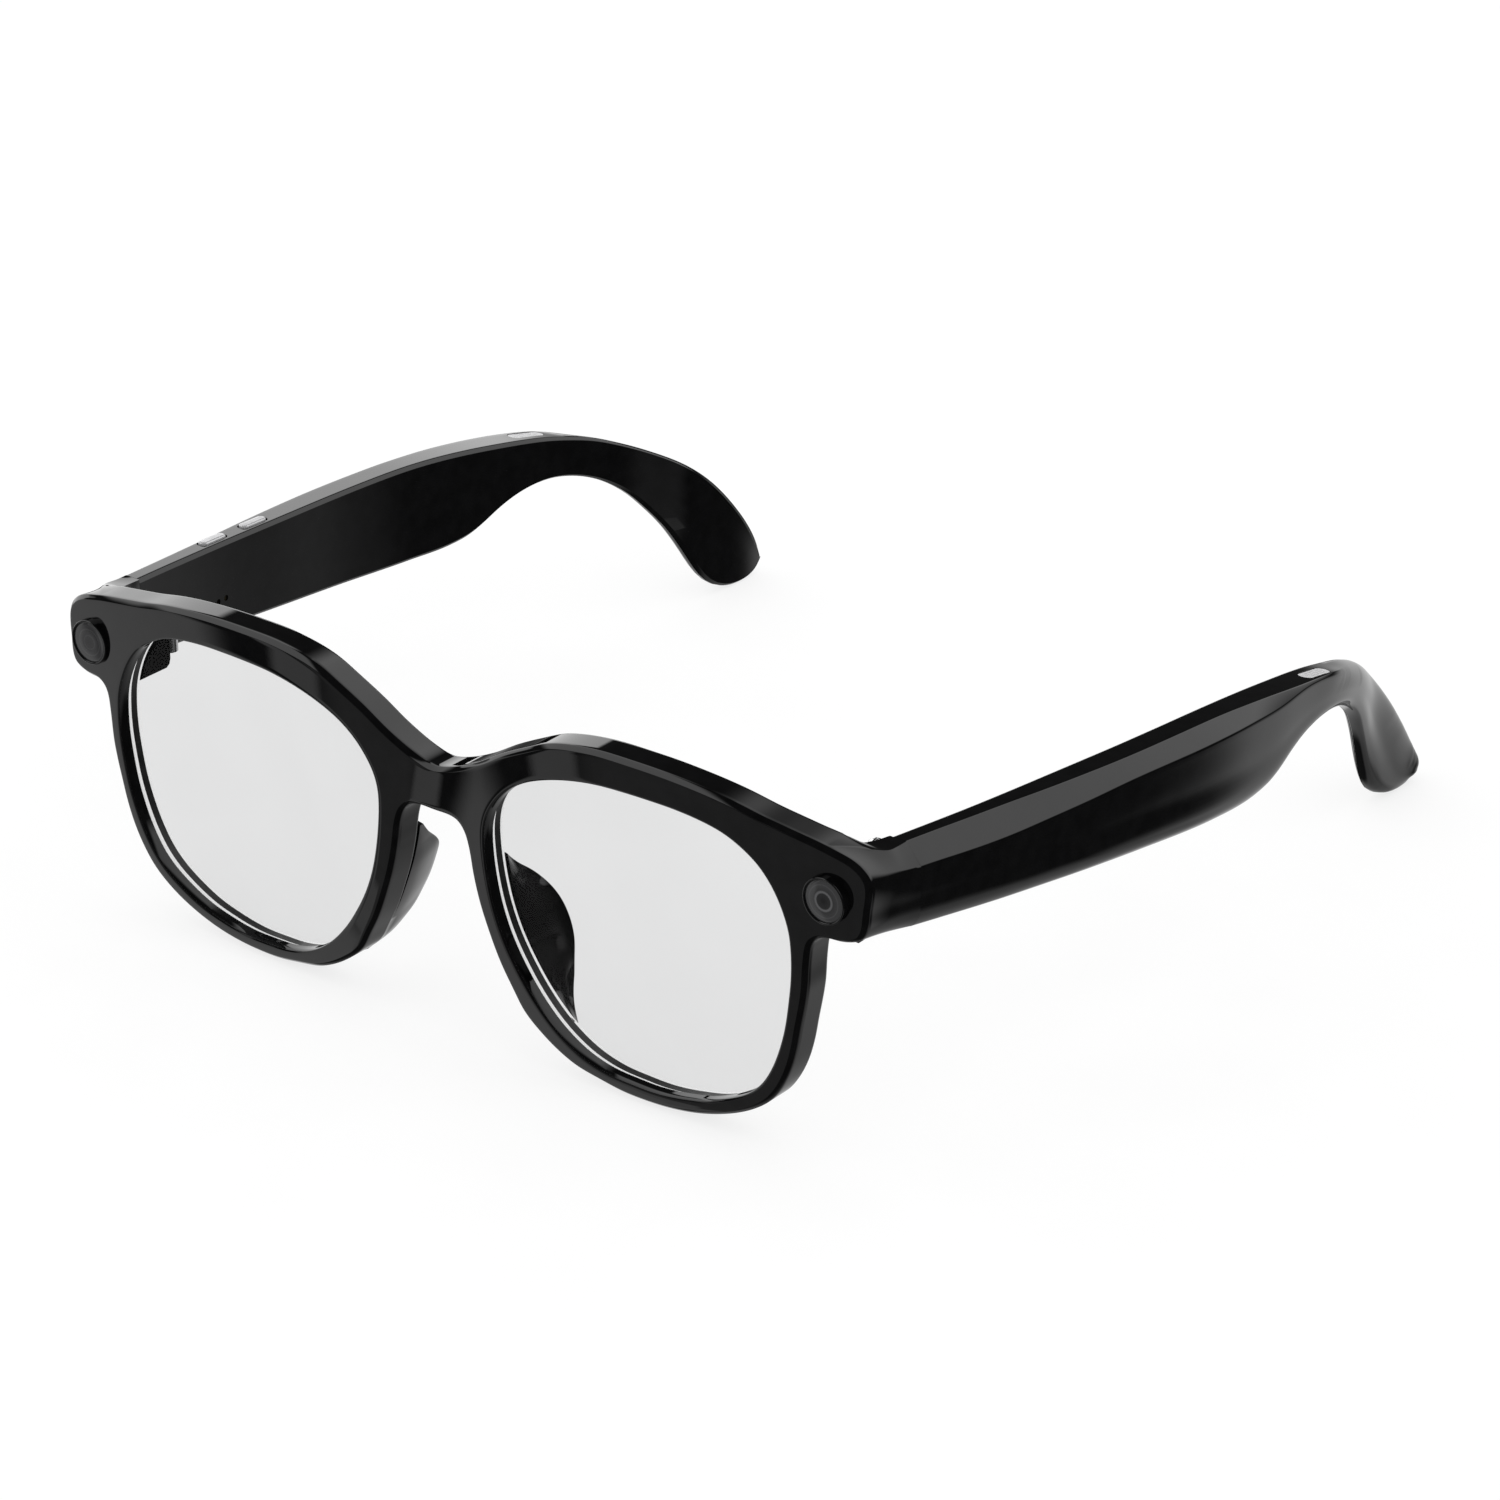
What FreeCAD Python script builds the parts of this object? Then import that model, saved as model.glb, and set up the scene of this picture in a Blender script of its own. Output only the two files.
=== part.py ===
import FreeCAD, Part
import math
import os

import Sketcher

# Smart glasses. Millimetres. X to the wearer's left, Y to the back, Z up.
# Everything is designed about the middle of the camera window line (z = 0, y = 0) and every
# sub-part is then placed so that the origin is the middle of the footprint the glasses rest on.

Vector = FreeCAD.Vector
doc = FreeCAD.newDocument("smart_glasses")

DIMENSIONS = [
    # origin of the finished object, from the design centre
    ("origin_back", 73.6),
    ("origin_down", 39.5),
    # front face: plan curvature of each rim, the saddle at the bridge and the vertical bow
    ("face_radius", 250),
    ("face_apex_x", 26),
    ("face_apex_y", -2.23),
    ("saddle_half_width", 8),
    ("bow_radius", 200),
    ("bow_height", -8.45),
    ("rim_depth", 4.7),
    # lenses and the groove that holds them
    ("lens_set_back", 2.0),
    ("lens_thickness", 2.0),
    ("groove_depth", 0.8),
    ("groove_play", 0.1),
    # cable channel behind the brow
    ("channel_width", 1.7),
    ("brow_cover_thickness", 0.8),
    ("flex_width", 1.1),
    ("flex_thickness", 0.25),
    # round windows at the corners of the front
    ("window_x", 64),
    ("bezel_dia", 6.55),
    ("bezel_front", -0.6),
    ("bezel_length", 6.6),
    ("bezel_bore", 5.1),
    ("window_thickness", 0.7),
    ("barrel_dia", 3.4),
    ("barrel_length", 3.6),
    ("board_thickness", 0.6),
    # hinges
    ("hinge_x", 62),
    ("hinge_y", 13.8),
    ("knuckle_radius", 1.15),
    ("knuckle_top", 2.0),
    ("knuckle_bottom", -5.5),
    ("knuckle_gap", 0.06),
    ("screw_dia", 1.2),
    ("screw_play", 0.05),
    ("leaf_thickness", 0.8),
    ("leaf_screw_x", 64.3),
    ("leaf_screw_low", -3.9),
    ("leaf_screw_high", 0.6),
    ("leaf_screw_dia", 0.9),
    ("leaf_screw_reach", 3.45),
    ("leaf_screw_head_dia", 1.5),
    ("temple_screw_z", -1.5),
    ("temple_screw_first", 18),
    ("temple_screw_second", 22.3),
    ("endpiece_back", 11.95),
    ("temple_front", 12.0),
    # temples
    ("wall", 1.3),
    ("cover_thickness", 0.8),
    ("cover_inset", 0.35),
    # buttons and charging contacts on the right temple
    ("button_length", 5.3),
    ("button_width", 1.6),
    ("button_inset", 1.95),
    ("button_rise", 0.3),
    ("power_button_y", 30.7),
    ("capture_button_y", 39.9),
    ("contact_pitch", 1.75),
    ("contact_dia", 0.9),
    ("contact_y", 30.2),
    ("contact_z", -5.0),
    ("charging_seat_x", 67.53),
    # circuit board, battery, speaker and switches inside the temples
    ("board_x", 69.1),
    ("board_front", 26.5),
    ("board_back", 56.5),
    ("board_low", -6.7),
    ("board_high", 0.2),
    ("chip_outer_x", 70.5),
    ("chip_length", 5),
    ("chip_width", 4),
    ("chip_margin", 1.3),
    ("battery_x", 71),
    ("battery_thickness", 2.5),
    ("battery_front", 60),
    ("battery_back", 92.5),
    ("battery_low", -9),
    ("battery_high", -2),
    ("speaker_x", 70.1),
    ("speaker_thickness", 2.2),
    ("speaker_front", 94.8),
    ("speaker_back", 104.3),
    ("speaker_low", -7.6),
    ("speaker_high", -4.2),
    ("flex_x", 70.72),
    ("speaker_flex_thickness", 0.18),
    ("flex_front", 58),
    ("flex_low", -6.4),
    ("speaker_flex_width", 1.2),
    ("switch_height", 1.2),
    ("switch_length", 3),
    ("switch_width", 1.25),
    # speaker vent on top of each temple
    ("grille_y", 103),
    ("grille_length", 6.2),
    ("grille_width", 2.2),
    ("grille_thickness", 0.5),
]

sheet = doc.addObject("Spreadsheet::Sheet", "dims")
for row, (alias, value) in enumerate(DIMENSIONS, start=1):
    sheet.set("A%d" % row, alias)
    sheet.set("B%d" % row, str(value))
    sheet.setAlias("B%d" % row, alias)
doc.recompute()


def dim(alias):
    """Number in a sheet cell."""
    return float(sheet.get(alias))


# Half outline of the front, from the dip over the bridge round to the underside of the bridge.
FRONT_OUTLINE = [
    (6.9, 2.6), (12, 5.6), (19.5, 9.2), (27, 10.7), (38, 10.8), (49.4, 9.6), (58, 7.9),
    (66, 6.1), (69.2, 4.2), (69.8, 0.5), (69.3, -3.6), (67.6, -5.4), (63.7, -5.7),
    (61.6, -7.2), (61.2, -11), (60.5, -17), (59.2, -23.2), (56.3, -30.3), (52, -34.6),
    (46.3, -37.3), (38.6, -39.05), (30.8, -39.15), (23, -37.7), (17.5, -34.7), (12.9, -29.4),
    (8.9, -21), (6.7, -13.6), (5.7, -8.2), (3.2, -6.2),
]
BRIDGE_TOP = (0, 0.2)
BRIDGE_UNDERSIDE = (0, -6.3)

# Opening of the wearer's left rim, clockwise from the nose side.
APERTURE = [
    (9.3, -8.1), (10.0, -14.3), (12.4, -22.0), (16.8, -29.0), (22.5, -34.6), (29.5, -36.8),
    (38.0, -36.8), (46.0, -35.1), (53.0, -30.7), (57.2, -23.0), (58.7, -13.5), (58.3, -5.7),
    (55.0, 0.9), (48.9, 4.8), (40.0, 6.3), (30.0, 6.2), (20.5, 4.5), (13.5, 0.9), (10.0, -3.6),
]
APERTURE_CENTRE = (34.0, -15.2)
APERTURE_HALF_SIZE = (24.8, 21.7)

# Middle line of the cable channel along the brow, from the bridge outwards.
BROW_LINE = [(0, -2.8), (6, -1.2), (12, 2.4), (20, 6.4), (32, 8.6), (44, 7.9), (54, 5.3), (60, 2.6)]

# Temple edges in side view, as pairs of points that share a cross-section.
TOP_EDGE = [
    (2, 5.6), (12, 5.0), (45, 2.8), (74, 0.8), (94, -2.0), (110, -5.5), (120, -9.2),
    (130, -14.8), (139.4, -23.0), (145.2, -30.0), (149.3, -36.4), (148.7, -38.2),
]
LOWER_EDGE = [
    (2, -5.8), (12, -7.1), (45, -11.3), (77, -14.9), (90, -14.1), (101, -11.1), (110.7, -12.3),
    (118, -15.6), (126, -23.3), (131.6, -31.9), (139.5, -39.2), (145.5, -39.5),
]
# Inner face of the temple in plan, then widths measured outwards from it.
INNER_FACE = [(0, 64.0), (26, 66.95), (52, 68.95), (76, 69.9), (100, 68.9), (115, 67.2),
              (127.5, 63.3), (135, 61.3), (150, 61.4)]
FLAT_WIDTH = [(0, 2.5), (18, 2.6), (31, 3.0), (44, 3.7), (60, 4.0), (81, 4.3), (100, 5.0),
              (110, 4.3), (125, 3.1), (150, 2.4)]
FULL_WIDTH = [(0, 5.7), (13, 5.0), (28, 5.6), (44, 6.1), (80, 6.15), (91, 5.7), (100, 5.3),
              (110, 4.6), (125, 3.4), (150, 2.7)]
SHOULDER_DROP = [(0, 2.9), (28, 3.0), (44, 2.6), (80, 2.1), (91, 1.5), (100, 0.3), (150, 0.3)]


def smooth(knots, at):
    """Value at a place on a smooth curve through (place, value) knots."""
    last = len(knots) - 2
    index = 0
    while index < last and at > knots[index + 1][0]:
        index += 1
    before = knots[max(index - 1, 0)]
    start, end = knots[index], knots[index + 1]
    after = knots[min(index + 2, last + 1)]
    span = end[0] - start[0]
    leave = (end[1] - before[1]) / (end[0] - before[0]) * span
    arrive = (after[1] - start[1]) / (after[0] - start[0]) * span
    part = min(max((at - start[0]) / span, 0.0), 1.0)
    rise = end[1] - start[1]
    return (start[1] + leave * part + (3 * rise - 2 * leave - arrive) * part ** 2
            + (leave + arrive - 2 * rise) * part ** 3)


def edge_point(points, position):
    """Point (y, z) on an edge, where position counts the edge's points."""
    return [smooth([(number, point[axis]) for number, point in enumerate(points)], position)
            for axis in (0, 1)]


def position_at(length_back):
    """Position along the temple whose top edge lies at a given y."""
    low, high = 0.0, len(TOP_EDGE) - 2.0
    for _ in range(30):
        middle = (low + high) / 2
        if edge_point(TOP_EDGE, middle)[0] < length_back:
            low = middle
        else:
            high = middle
    return low


def temple_point(position, width, down):
    """Point at a width from the inner face and a distance down from the top edge."""
    top_y, top_z = edge_point(TOP_EDGE, position)
    low_y, low_z = edge_point(LOWER_EDGE, position)
    height = math.hypot(low_y - top_y, low_z - top_z)
    share = down / height
    y = top_y + (low_y - top_y) * share
    z = top_z + (low_z - top_z) * share
    return Vector(smooth(INNER_FACE, y) + width, y, z)


def temple_height(position):
    top_y, top_z = edge_point(TOP_EDGE, position)
    low_y, low_z = edge_point(LOWER_EDGE, position)
    return math.hypot(low_y - top_y, low_z - top_z)


def outer_section(position):
    """Eight corners of the temple's cross-section, from the top of the inner face outwards."""
    y = edge_point(TOP_EDGE, position)[0]
    height = temple_height(position)
    flat = smooth(FLAT_WIDTH, y)
    full = smooth(FULL_WIDTH, y)
    drop = smooth(SHOULDER_DROP, y)
    belly = min(1.8, height / 3)
    corners = [(0, 0), (flat, 0), (full, drop), (full * 0.97, (height + drop) / 2),
               (full * 0.88, height - belly), (full * 0.66, height - belly / 5),
               (full * 0.42, height), (0, height)]
    return [temple_point(position, width, down) for width, down in corners]


def strip_section(position, inner, outer, inset):
    """Rectangle between two widths, clear of the top and lower edges by an inset."""
    height = temple_height(position)
    corners = [(inner, inset), (outer, inset), (outer, height - inset), (inner, height - inset)]
    return [temple_point(position, width, down) for width, down in corners]


def bay_section(position):
    """Hollow of the temple, open on the inner side and a wall's thickness from every outer face."""
    y = edge_point(TOP_EDGE, position)[0]
    height = temple_height(position)
    wall = dim("wall")
    outer = smooth(FULL_WIDTH, y) - wall
    flat = min(smooth(FLAT_WIDTH, y) - 0.3, outer - 0.4)
    shoulder = smooth(SHOULDER_DROP, y) + 0.8 * wall
    corners = [(-1, wall), (flat, wall), (outer, shoulder), (outer, height - 2 * wall),
               (outer - wall, height - wall), (-1, height - wall)]
    return [temple_point(position, width, down) for width, down in corners]


def loft(sections):
    """Smooth solid through closed outlines of straight edges."""
    wires = [Part.makePolygon(section + section[:1]) for section in sections]
    return Part.makeLoft(wires, True, False)


def stations(start, end, count):
    """Evenly spaced positions along the temple between two y values."""
    first, last = position_at(start), position_at(end)
    return [first + (last - first) * number / (count - 1) for number in range(count)]


# ---------------------------------------------------------------- document helpers

def place(part):
    """Move a sub-part from the design centre to the finished origin."""
    part.setExpression("Placement.Base.y", "-dims.origin_back")
    part.setExpression("Placement.Base.z", "dims.origin_down")
    return part


def new_body(label):
    body = doc.addObject("PartDesign::Body", label)
    body.Label = label
    return place(body)


def new_sketch(body, name, plane, offset="0"):
    """Sketch on one of the body's origin planes, moved along that plane's normal."""
    sketch = body.newObject("Sketcher::SketchObject", name)
    support = [feature for feature in body.Origin.OriginFeatures if feature.Role == plane][0]
    sketch.AttachmentSupport = [(support, "")]
    sketch.MapMode = "FlatFace"
    sketch.setExpression("AttachmentOffset.Base.z", offset)
    return sketch


def fix(sketch, kind, elements, expression):
    """Dimension in a sketch, bound to an expression."""
    value = float(sketch.evalExpression(expression))
    number = sketch.addConstraint(Sketcher.Constraint(kind, *elements, value))
    sketch.setExpression("Constraints[%d]" % number, expression)


def rectangle(sketch, left, right, bottom, top):
    """Rectangle in a sketch; its four sides are expressions."""
    x1, x2, y1, y2 = [float(sketch.evalExpression(side)) for side in (left, right, bottom, top)]
    corners = [Vector(x1, y1), Vector(x2, y1), Vector(x2, y2), Vector(x1, y2)]
    first = len(sketch.Geometry)
    for number in range(4):
        sketch.addGeometry(Part.LineSegment(corners[number], corners[(number + 1) % 4]))
    for number in range(4):
        following = first + (number + 1) % 4
        sketch.addConstraint(Sketcher.Constraint("Coincident", first + number, 2, following, 1))
    for number, kind in enumerate(("Horizontal", "Vertical", "Horizontal", "Vertical")):
        sketch.addConstraint(Sketcher.Constraint(kind, first + number))
    fix(sketch, "DistanceX", (-1, 1, first, 1), left)
    fix(sketch, "DistanceX", (-1, 1, first, 2), right)
    fix(sketch, "DistanceY", (-1, 1, first, 1), bottom)
    fix(sketch, "DistanceY", (-1, 1, first + 2, 1), top)


def circle(sketch, across, up, diameter):
    """Circle in a sketch; centre and diameter are expressions."""
    centre = Vector(*[float(sketch.evalExpression(formula)) for formula in (across, up)])
    radius = float(sketch.evalExpression(diameter)) / 2
    number = sketch.addGeometry(Part.Circle(centre, Vector(0, 0, 1), radius))
    fix(sketch, "DistanceX", (-1, 1, number, 3), across)
    fix(sketch, "DistanceY", (-1, 1, number, 3), up)
    fix(sketch, "Diameter", (number,), diameter)


def spline_loop(sketch, points):
    """Closed smooth outline through points."""
    curve = Part.BSplineCurve()
    curve.interpolate([Vector(across, up) for across, up in points], PeriodicFlag=True)
    sketch.addGeometry(curve)


def pad(body, name, sketch, length, backwards=True):
    feature = body.newObject("PartDesign::Pad", name)
    feature.Profile = sketch
    feature.setExpression("Length", length)
    feature.Reversed = backwards
    return feature


def pocket(body, name, sketch, length=None, backwards=True):
    """Cut by a depth, or through everything both ways when no depth is given."""
    feature = body.newObject("PartDesign::Pocket", name)
    feature.Profile = sketch
    if length is None:
        feature.Type = "ThroughAll"
        feature.Midplane = True
    else:
        feature.setExpression("Length", length)
        feature.Reversed = backwards
    return feature


def face_y(x, depth):
    """Plan curve of the front face, a given depth behind it."""
    apex_x, apex_y = dim("face_apex_x"), dim("face_apex_y")
    radius, saddle = dim("face_radius"), dim("saddle_half_width")
    x = abs(x)
    edge = apex_y + radius - math.sqrt(radius ** 2 - (max(x, saddle) - apex_x) ** 2)
    rise = (apex_x - saddle) / radius * (saddle ** 2 - min(x, saddle) ** 2) / (2 * saddle)
    return edge + rise + depth


def add_face_band(body, name, front, back):
    """Curved sheet that follows the front face between two depths behind it."""
    sketch = new_sketch(body, name + "_plan", "XY_Plane", "dims.bow_height")
    reach, saddle, apex = 74.0, dim("saddle_half_width"), dim("face_apex_x")

    def arcs(depth):
        marks = [-reach, -apex - 20, -saddle, 0, saddle, apex + 20, reach]
        points = [Vector(x, face_y(x, depth)) for x in marks]
        return [Part.Arc(points[0], points[1], points[2]), Part.Arc(points[2], points[3], points[4]),
                Part.Arc(points[4], points[5], points[6])], points[0], points[6]

    front_arcs, front_right, front_left = arcs(front)
    back_arcs, back_right, back_left = arcs(back)
    for arc in front_arcs + back_arcs:
        sketch.addGeometry(arc)
    sketch.addGeometry(Part.LineSegment(front_right, back_right))
    sketch.addGeometry(Part.LineSegment(front_left, back_left))
    bow = dim("bow_radius")
    axis = sketch.addGeometry(Part.LineSegment(Vector(-10, bow), Vector(10, bow)), True)
    fix(sketch, "DistanceY", (-1, 1, axis, 1), "dims.bow_radius")
    sketch.addConstraint(Sketcher.Constraint("Horizontal", axis))
    feature = body.newObject("PartDesign::Revolution", name)
    feature.Profile = sketch
    feature.ReferenceAxis = (sketch, ["Axis0"])
    feature.Midplane = True
    feature.Angle = 24
    return feature


def keep_inside(body, name, points):
    """Trim a body to a closed outline in front view."""
    sketch = new_sketch(body, name, "XZ_Plane")
    rectangle(sketch, "-120", "120", "-90", "90")
    spline_loop(sketch, points)
    pocket(body, name + "_trim", sketch)


def cut_outline(body, name, points):
    sketch = new_sketch(body, name, "XZ_Plane")
    spline_loop(sketch, points)
    pocket(body, name + "_cut", sketch)


def both_sides(points):
    """Outline of a symmetric shape from its left half."""
    mirrored = [(-x, z) for x, z in reversed(points)]
    return [BRIDGE_TOP] + points + [BRIDGE_UNDERSIDE] + mirrored


def grown_aperture(growth):
    """Rim opening moved outwards by a margin."""
    scale = [1 + growth / half for half in APERTURE_HALF_SIZE]
    return [tuple(centre + (value - centre) * factor
                  for value, centre, factor in zip(point, APERTURE_CENTRE, scale))
            for point in APERTURE]


def mirrored_points(points):
    return [(-x, z) for x, z in points]


def mirror(source, label):
    """Right-hand copy of a left-hand sub-part."""
    copy = doc.addObject("Part::Mirroring", label)
    copy.Source = source
    copy.Normal = Vector(1, 0, 0)
    copy.Label = label
    return copy


def cut(base, tools, label):
    """Base with every tool taken away."""
    if len(tools) > 1:
        tool = doc.addObject("Part::MultiFuse", label + "_tools")
        tool.Shapes = tools
    else:
        tool = tools[0]
    result = doc.addObject("Part::Cut", label)
    result.Base = base
    result.Tool = tool
    result.Label = label
    return result


def box(label, low, high):
    """Box between two corners given as expressions."""
    block = doc.addObject("Part::Box", label)
    block.Label = label
    for size, start, end in zip(("Length", "Width", "Height"), low, high):
        block.setExpression(size, "(%s) - (%s)" % (end, start))
    block.setExpression("Placement.Base.x", low[0])
    block.setExpression("Placement.Base.y", "%s - dims.origin_back" % low[1])
    block.setExpression("Placement.Base.z", "%s + dims.origin_down" % low[2])
    return block


def cylinder(label, axis, start, length, diameter):
    """Cylinder from a start point along an axis, sized by expressions."""
    rod = doc.addObject("Part::Cylinder", label)
    rod.Label = label
    turn = {"x": FreeCAD.Rotation(Vector(0, 1, 0), 90), "y": FreeCAD.Rotation(Vector(1, 0, 0), -90),
            "z": FreeCAD.Rotation()}[axis]
    rod.Placement = FreeCAD.Placement(Vector(), turn)
    rod.setExpression("Radius", "(%s) / 2" % diameter)
    rod.setExpression("Height", length)
    rod.setExpression("Placement.Base.x", start[0])
    rod.setExpression("Placement.Base.y", "%s - dims.origin_back" % start[1])
    rod.setExpression("Placement.Base.z", "%s + dims.origin_down" % start[2])
    return rod


def fuse(parts, label):
    joined = doc.addObject("Part::MultiFuse", label)
    joined.Shapes = parts
    joined.Label = label
    return joined


def freeform(label, shape):
    """Sub-part whose flowing shape is set directly."""
    part = doc.addObject("Part::Feature", label)
    part.Label = label
    part.Shape = shape
    return place(part)


parts = {}


def keep(part):
    parts[part.Label] = part
    return part


def keep_pair(left, left_label, right_label):
    """Keep a left-hand sub-part and its mirror image."""
    left.Label = left_label
    keep(left)
    return keep(mirror(left, right_label))


def strip_outline(sketch, width):
    """Strip of a given width along the brow, over both rims."""
    left = [Vector(x, z) for x, z in BROW_LINE]
    line = [Vector(-point.x, point.y) for point in reversed(left[1:])] + left
    ends = []
    for shift in (width / 2, -width / 2):
        edge = [point + Vector(0, shift) for point in line]
        curve = Part.BSplineCurve()
        curve.interpolate(edge)
        sketch.addGeometry(curve)
        ends.append((edge[0], edge[-1]))
    for first, second in zip(*ends):
        sketch.addGeometry(Part.LineSegment(first, second))


def keep_strip(body, name, width):
    """Trim a body to the strip along the brow."""
    sketch = new_sketch(body, name, "XZ_Plane")
    rectangle(sketch, "-120", "120", "-90", "90")
    strip_outline(sketch, width)
    pocket(body, name + "_trim", sketch)


def face_sheet(label, front, thickness, points):
    """Curved plate behind the front face with a given outline in front view."""
    body = new_body(label)
    add_face_band(body, label + "_band", front, front + thickness)
    keep_inside(body, label + "_outline", points)
    return body


# ---------------------------------------------------------------- front frame

FRONT_SCREW_HEIGHTS = ("dims.leaf_screw_low", "dims.leaf_screw_high")
FRONT_SCREW_FOOT = "dims.endpiece_back - dims.leaf_screw_reach"
SCREW_HOLE = "dims.leaf_screw_dia + 0.04"
SCREW_HEAD_HOLE = "dims.leaf_screw_head_dia + 0.1"

# Rows of the nose pad from the rim to its rear edge: y, then (x, z) of the top, middle and bottom
# of the skin side, then thickness.
NOSE_PAD_ROWS = [
    (2.5, (7.0, -12.5), (10.3, -24.5), (17.8, -34.4), 2.6),
    (7.0, (7.6, -15.0), (11.0, -24.2), (16.5, -33.4), 2.2),
    (10.3, (9.0, -18.3), (11.6, -24.0), (13.7, -28.8), 1.7),
    (11.6, (11.2, -22.0), (11.8, -23.4), (12.5, -25.0), 1.2),
]


def nose_pad():
    """Pad that sweeps back from the nose side of the left rim, thinner towards its rear edge."""
    sections = []
    for back, top, middle, bottom, thickness in NOSE_PAD_ROWS:
        inner = [Vector(x, back, z) for x, z in (top, middle, bottom)]
        outer = [point + Vector(thickness, 0, 0) for point in reversed(inner)]
        sections.append(outer + inner)
    return loft(sections)


def build_front():
    band = face_sheet("frame_band", 0, dim("rim_depth"), both_sides(FRONT_OUTLINE))
    cut_outline(band, "left_opening", APERTURE)
    cut_outline(band, "right_opening", mirrored_points(APERTURE))

    end_positions = stations(2, dim("endpiece_back"), 4)
    left_end = freeform("left_endpiece", loft([outer_section(position) for position in end_positions]))
    left_block = box("left_hinge_block", ("60.2", "4.5", "-6.8"), ("66.5", "dims.endpiece_back", "2.9"))
    left_pad = freeform("left_nose_pad", nose_pad())
    solids = [band]
    for half in (left_end, left_block, left_pad):
        solids += [half, mirror(half, half.Label.replace("left", "right"))]
    blank = fuse(solids, "frame_blank")

    play = dim("groove_play")
    seat = face_sheet("left_lens_groove", dim("lens_set_back") - play / 2,
                      dim("lens_thickness") + play, grown_aperture(dim("groove_depth")))
    channel = new_body("cable_channel")
    floor = dim("rim_depth") - dim("brow_cover_thickness") - 0.8
    add_face_band(channel, "channel_band", floor, dim("rim_depth") + 1)
    keep_strip(channel, "channel_strip", dim("channel_width"))

    window_hole = cylinder("left_window_hole", "y", ("dims.window_x", "-4", "0"),
                           "4 + dims.bezel_front + dims.bezel_length + 0.05", "dims.bezel_dia + 0.1")
    leaf_recess = box("left_leaf_recess", ("60.9", "dims.endpiece_back - 0.95", "-5.6"),
                      ("65.3", "14", "3.5"))
    mic_pocket = box("left_mic_pocket", ("65.8", "9.3", "2.9"), ("66.9", "14", "4.4"))
    mic_port = cylinder("left_mic_port", "x", ("62", "10.5", "3.65"), "4", "0.6")
    halves = [seat, window_hole, leaf_recess, mic_pocket, mic_port] + front_screw_holes()
    tools = [channel]
    for half in halves:
        tools += [half, mirror(half, half.Label.replace("left", "right"))]
    return cut(blank, tools, "front_frame")


def front_screw_holes():
    return [cylinder("left_leaf_screw_hole_%d" % number, "y",
                     ("dims.leaf_screw_x", FRONT_SCREW_FOOT, height),
                     "6", SCREW_HOLE)
            for number, height in enumerate(FRONT_SCREW_HEIGHTS)]


keep(build_front())

left_lens = face_sheet("left_lens", dim("lens_set_back"), dim("lens_thickness"),
                       grown_aperture(dim("groove_depth") - dim("groove_play")))
keep_pair(left_lens, "left_lens", "right_lens")

brow_cover = new_body("brow_cover")
add_face_band(brow_cover, "cover_band", dim("rim_depth") - dim("brow_cover_thickness"), dim("rim_depth"))
keep_strip(brow_cover, "cover_strip", dim("channel_width") - 0.1)
keep(brow_cover)

front_flex = new_body("front_flex_cable")
flex_front = dim("rim_depth") - dim("brow_cover_thickness") - 0.5
add_face_band(front_flex, "flex_band", flex_front, flex_front + dim("flex_thickness"))
keep_strip(front_flex, "flex_strip", dim("flex_width"))
keep(front_flex)


# ---------------------------------------------------------------- corner windows

def bezel(label):
    """Tube that carries a round window, with a chamfered front edge."""
    body = new_body(label)
    outer = new_sketch(body, label + "_outer", "XZ_Plane", "-dims.bezel_front")
    circle(outer, "dims.window_x", "0", "dims.bezel_dia")
    pad(body, label + "_tube", outer, "dims.bezel_length")
    inner = new_sketch(body, label + "_bore", "XZ_Plane")
    circle(inner, "dims.window_x", "0", "dims.bezel_bore")
    tube = pocket(body, label + "_hollow", inner)
    doc.recompute()
    edges = [number for number, edge in enumerate(tube.Shape.Edges, start=1)
             if abs(edge.BoundBox.YMax - dim("bezel_front")) < 0.01
             and edge.BoundBox.XLength > dim("bezel_bore") + 0.5]
    chamfer = body.newObject("PartDesign::Chamfer", label + "_chamfer")
    chamfer.Base = (tube, ["Edge%d" % number for number in edges])
    chamfer.Size = 0.35
    return body


def lens_barrel():
    """Small camera lens with its stepped front."""
    body = new_body("camera_lens_barrel")
    base = new_sketch(body, "barrel_base", "XZ_Plane", "-0.9")
    circle(base, "dims.window_x", "0", "dims.barrel_dia")
    pad(body, "barrel_solid", base, "dims.barrel_length")
    step = new_sketch(body, "barrel_step", "XZ_Plane", "-0.6")
    circle(step, "dims.window_x", "0", "dims.barrel_dia - 0.9")
    pad(body, "barrel_nose", step, "0.5")
    eye = new_sketch(body, "barrel_eye", "XZ_Plane", "-0.6")
    circle(eye, "dims.window_x", "0", "dims.barrel_dia * 0.4")
    pocket(body, "barrel_opening", eye, "0.4")
    return body


camera_bezel = keep(bezel("camera_bezel"))
window_front = "dims.bezel_front + 0.25"
camera_window = keep(cylinder("camera_window", "y", ("dims.window_x", window_front, "0"),
                              "dims.window_thickness", "dims.bezel_bore - 0.06"))
keep(lens_barrel())
sensor_board = keep(cylinder("camera_sensor_board", "y", ("dims.window_x", "5", "0"),
                             "dims.board_thickness", "dims.bezel_bore - 0.2"))
keep(mirror(camera_bezel, "indicator_bezel"))
keep(mirror(camera_window, "indicator_window"))
keep(mirror(sensor_board, "indicator_led_board"))
keep(cylinder("indicator_light_guide", "y", ("-dims.window_x", "0.5", "0"), "3.9", "dims.bezel_bore - 0.9"))

microphone = box("left_microphone", ("65.85", "9.35", "2.95"),
                 ("66.85", "dims.endpiece_back - 0.1", "4.35"))
keep_pair(microphone, "left_microphone", "right_microphone")


# ---------------------------------------------------------------- hinges

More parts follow.
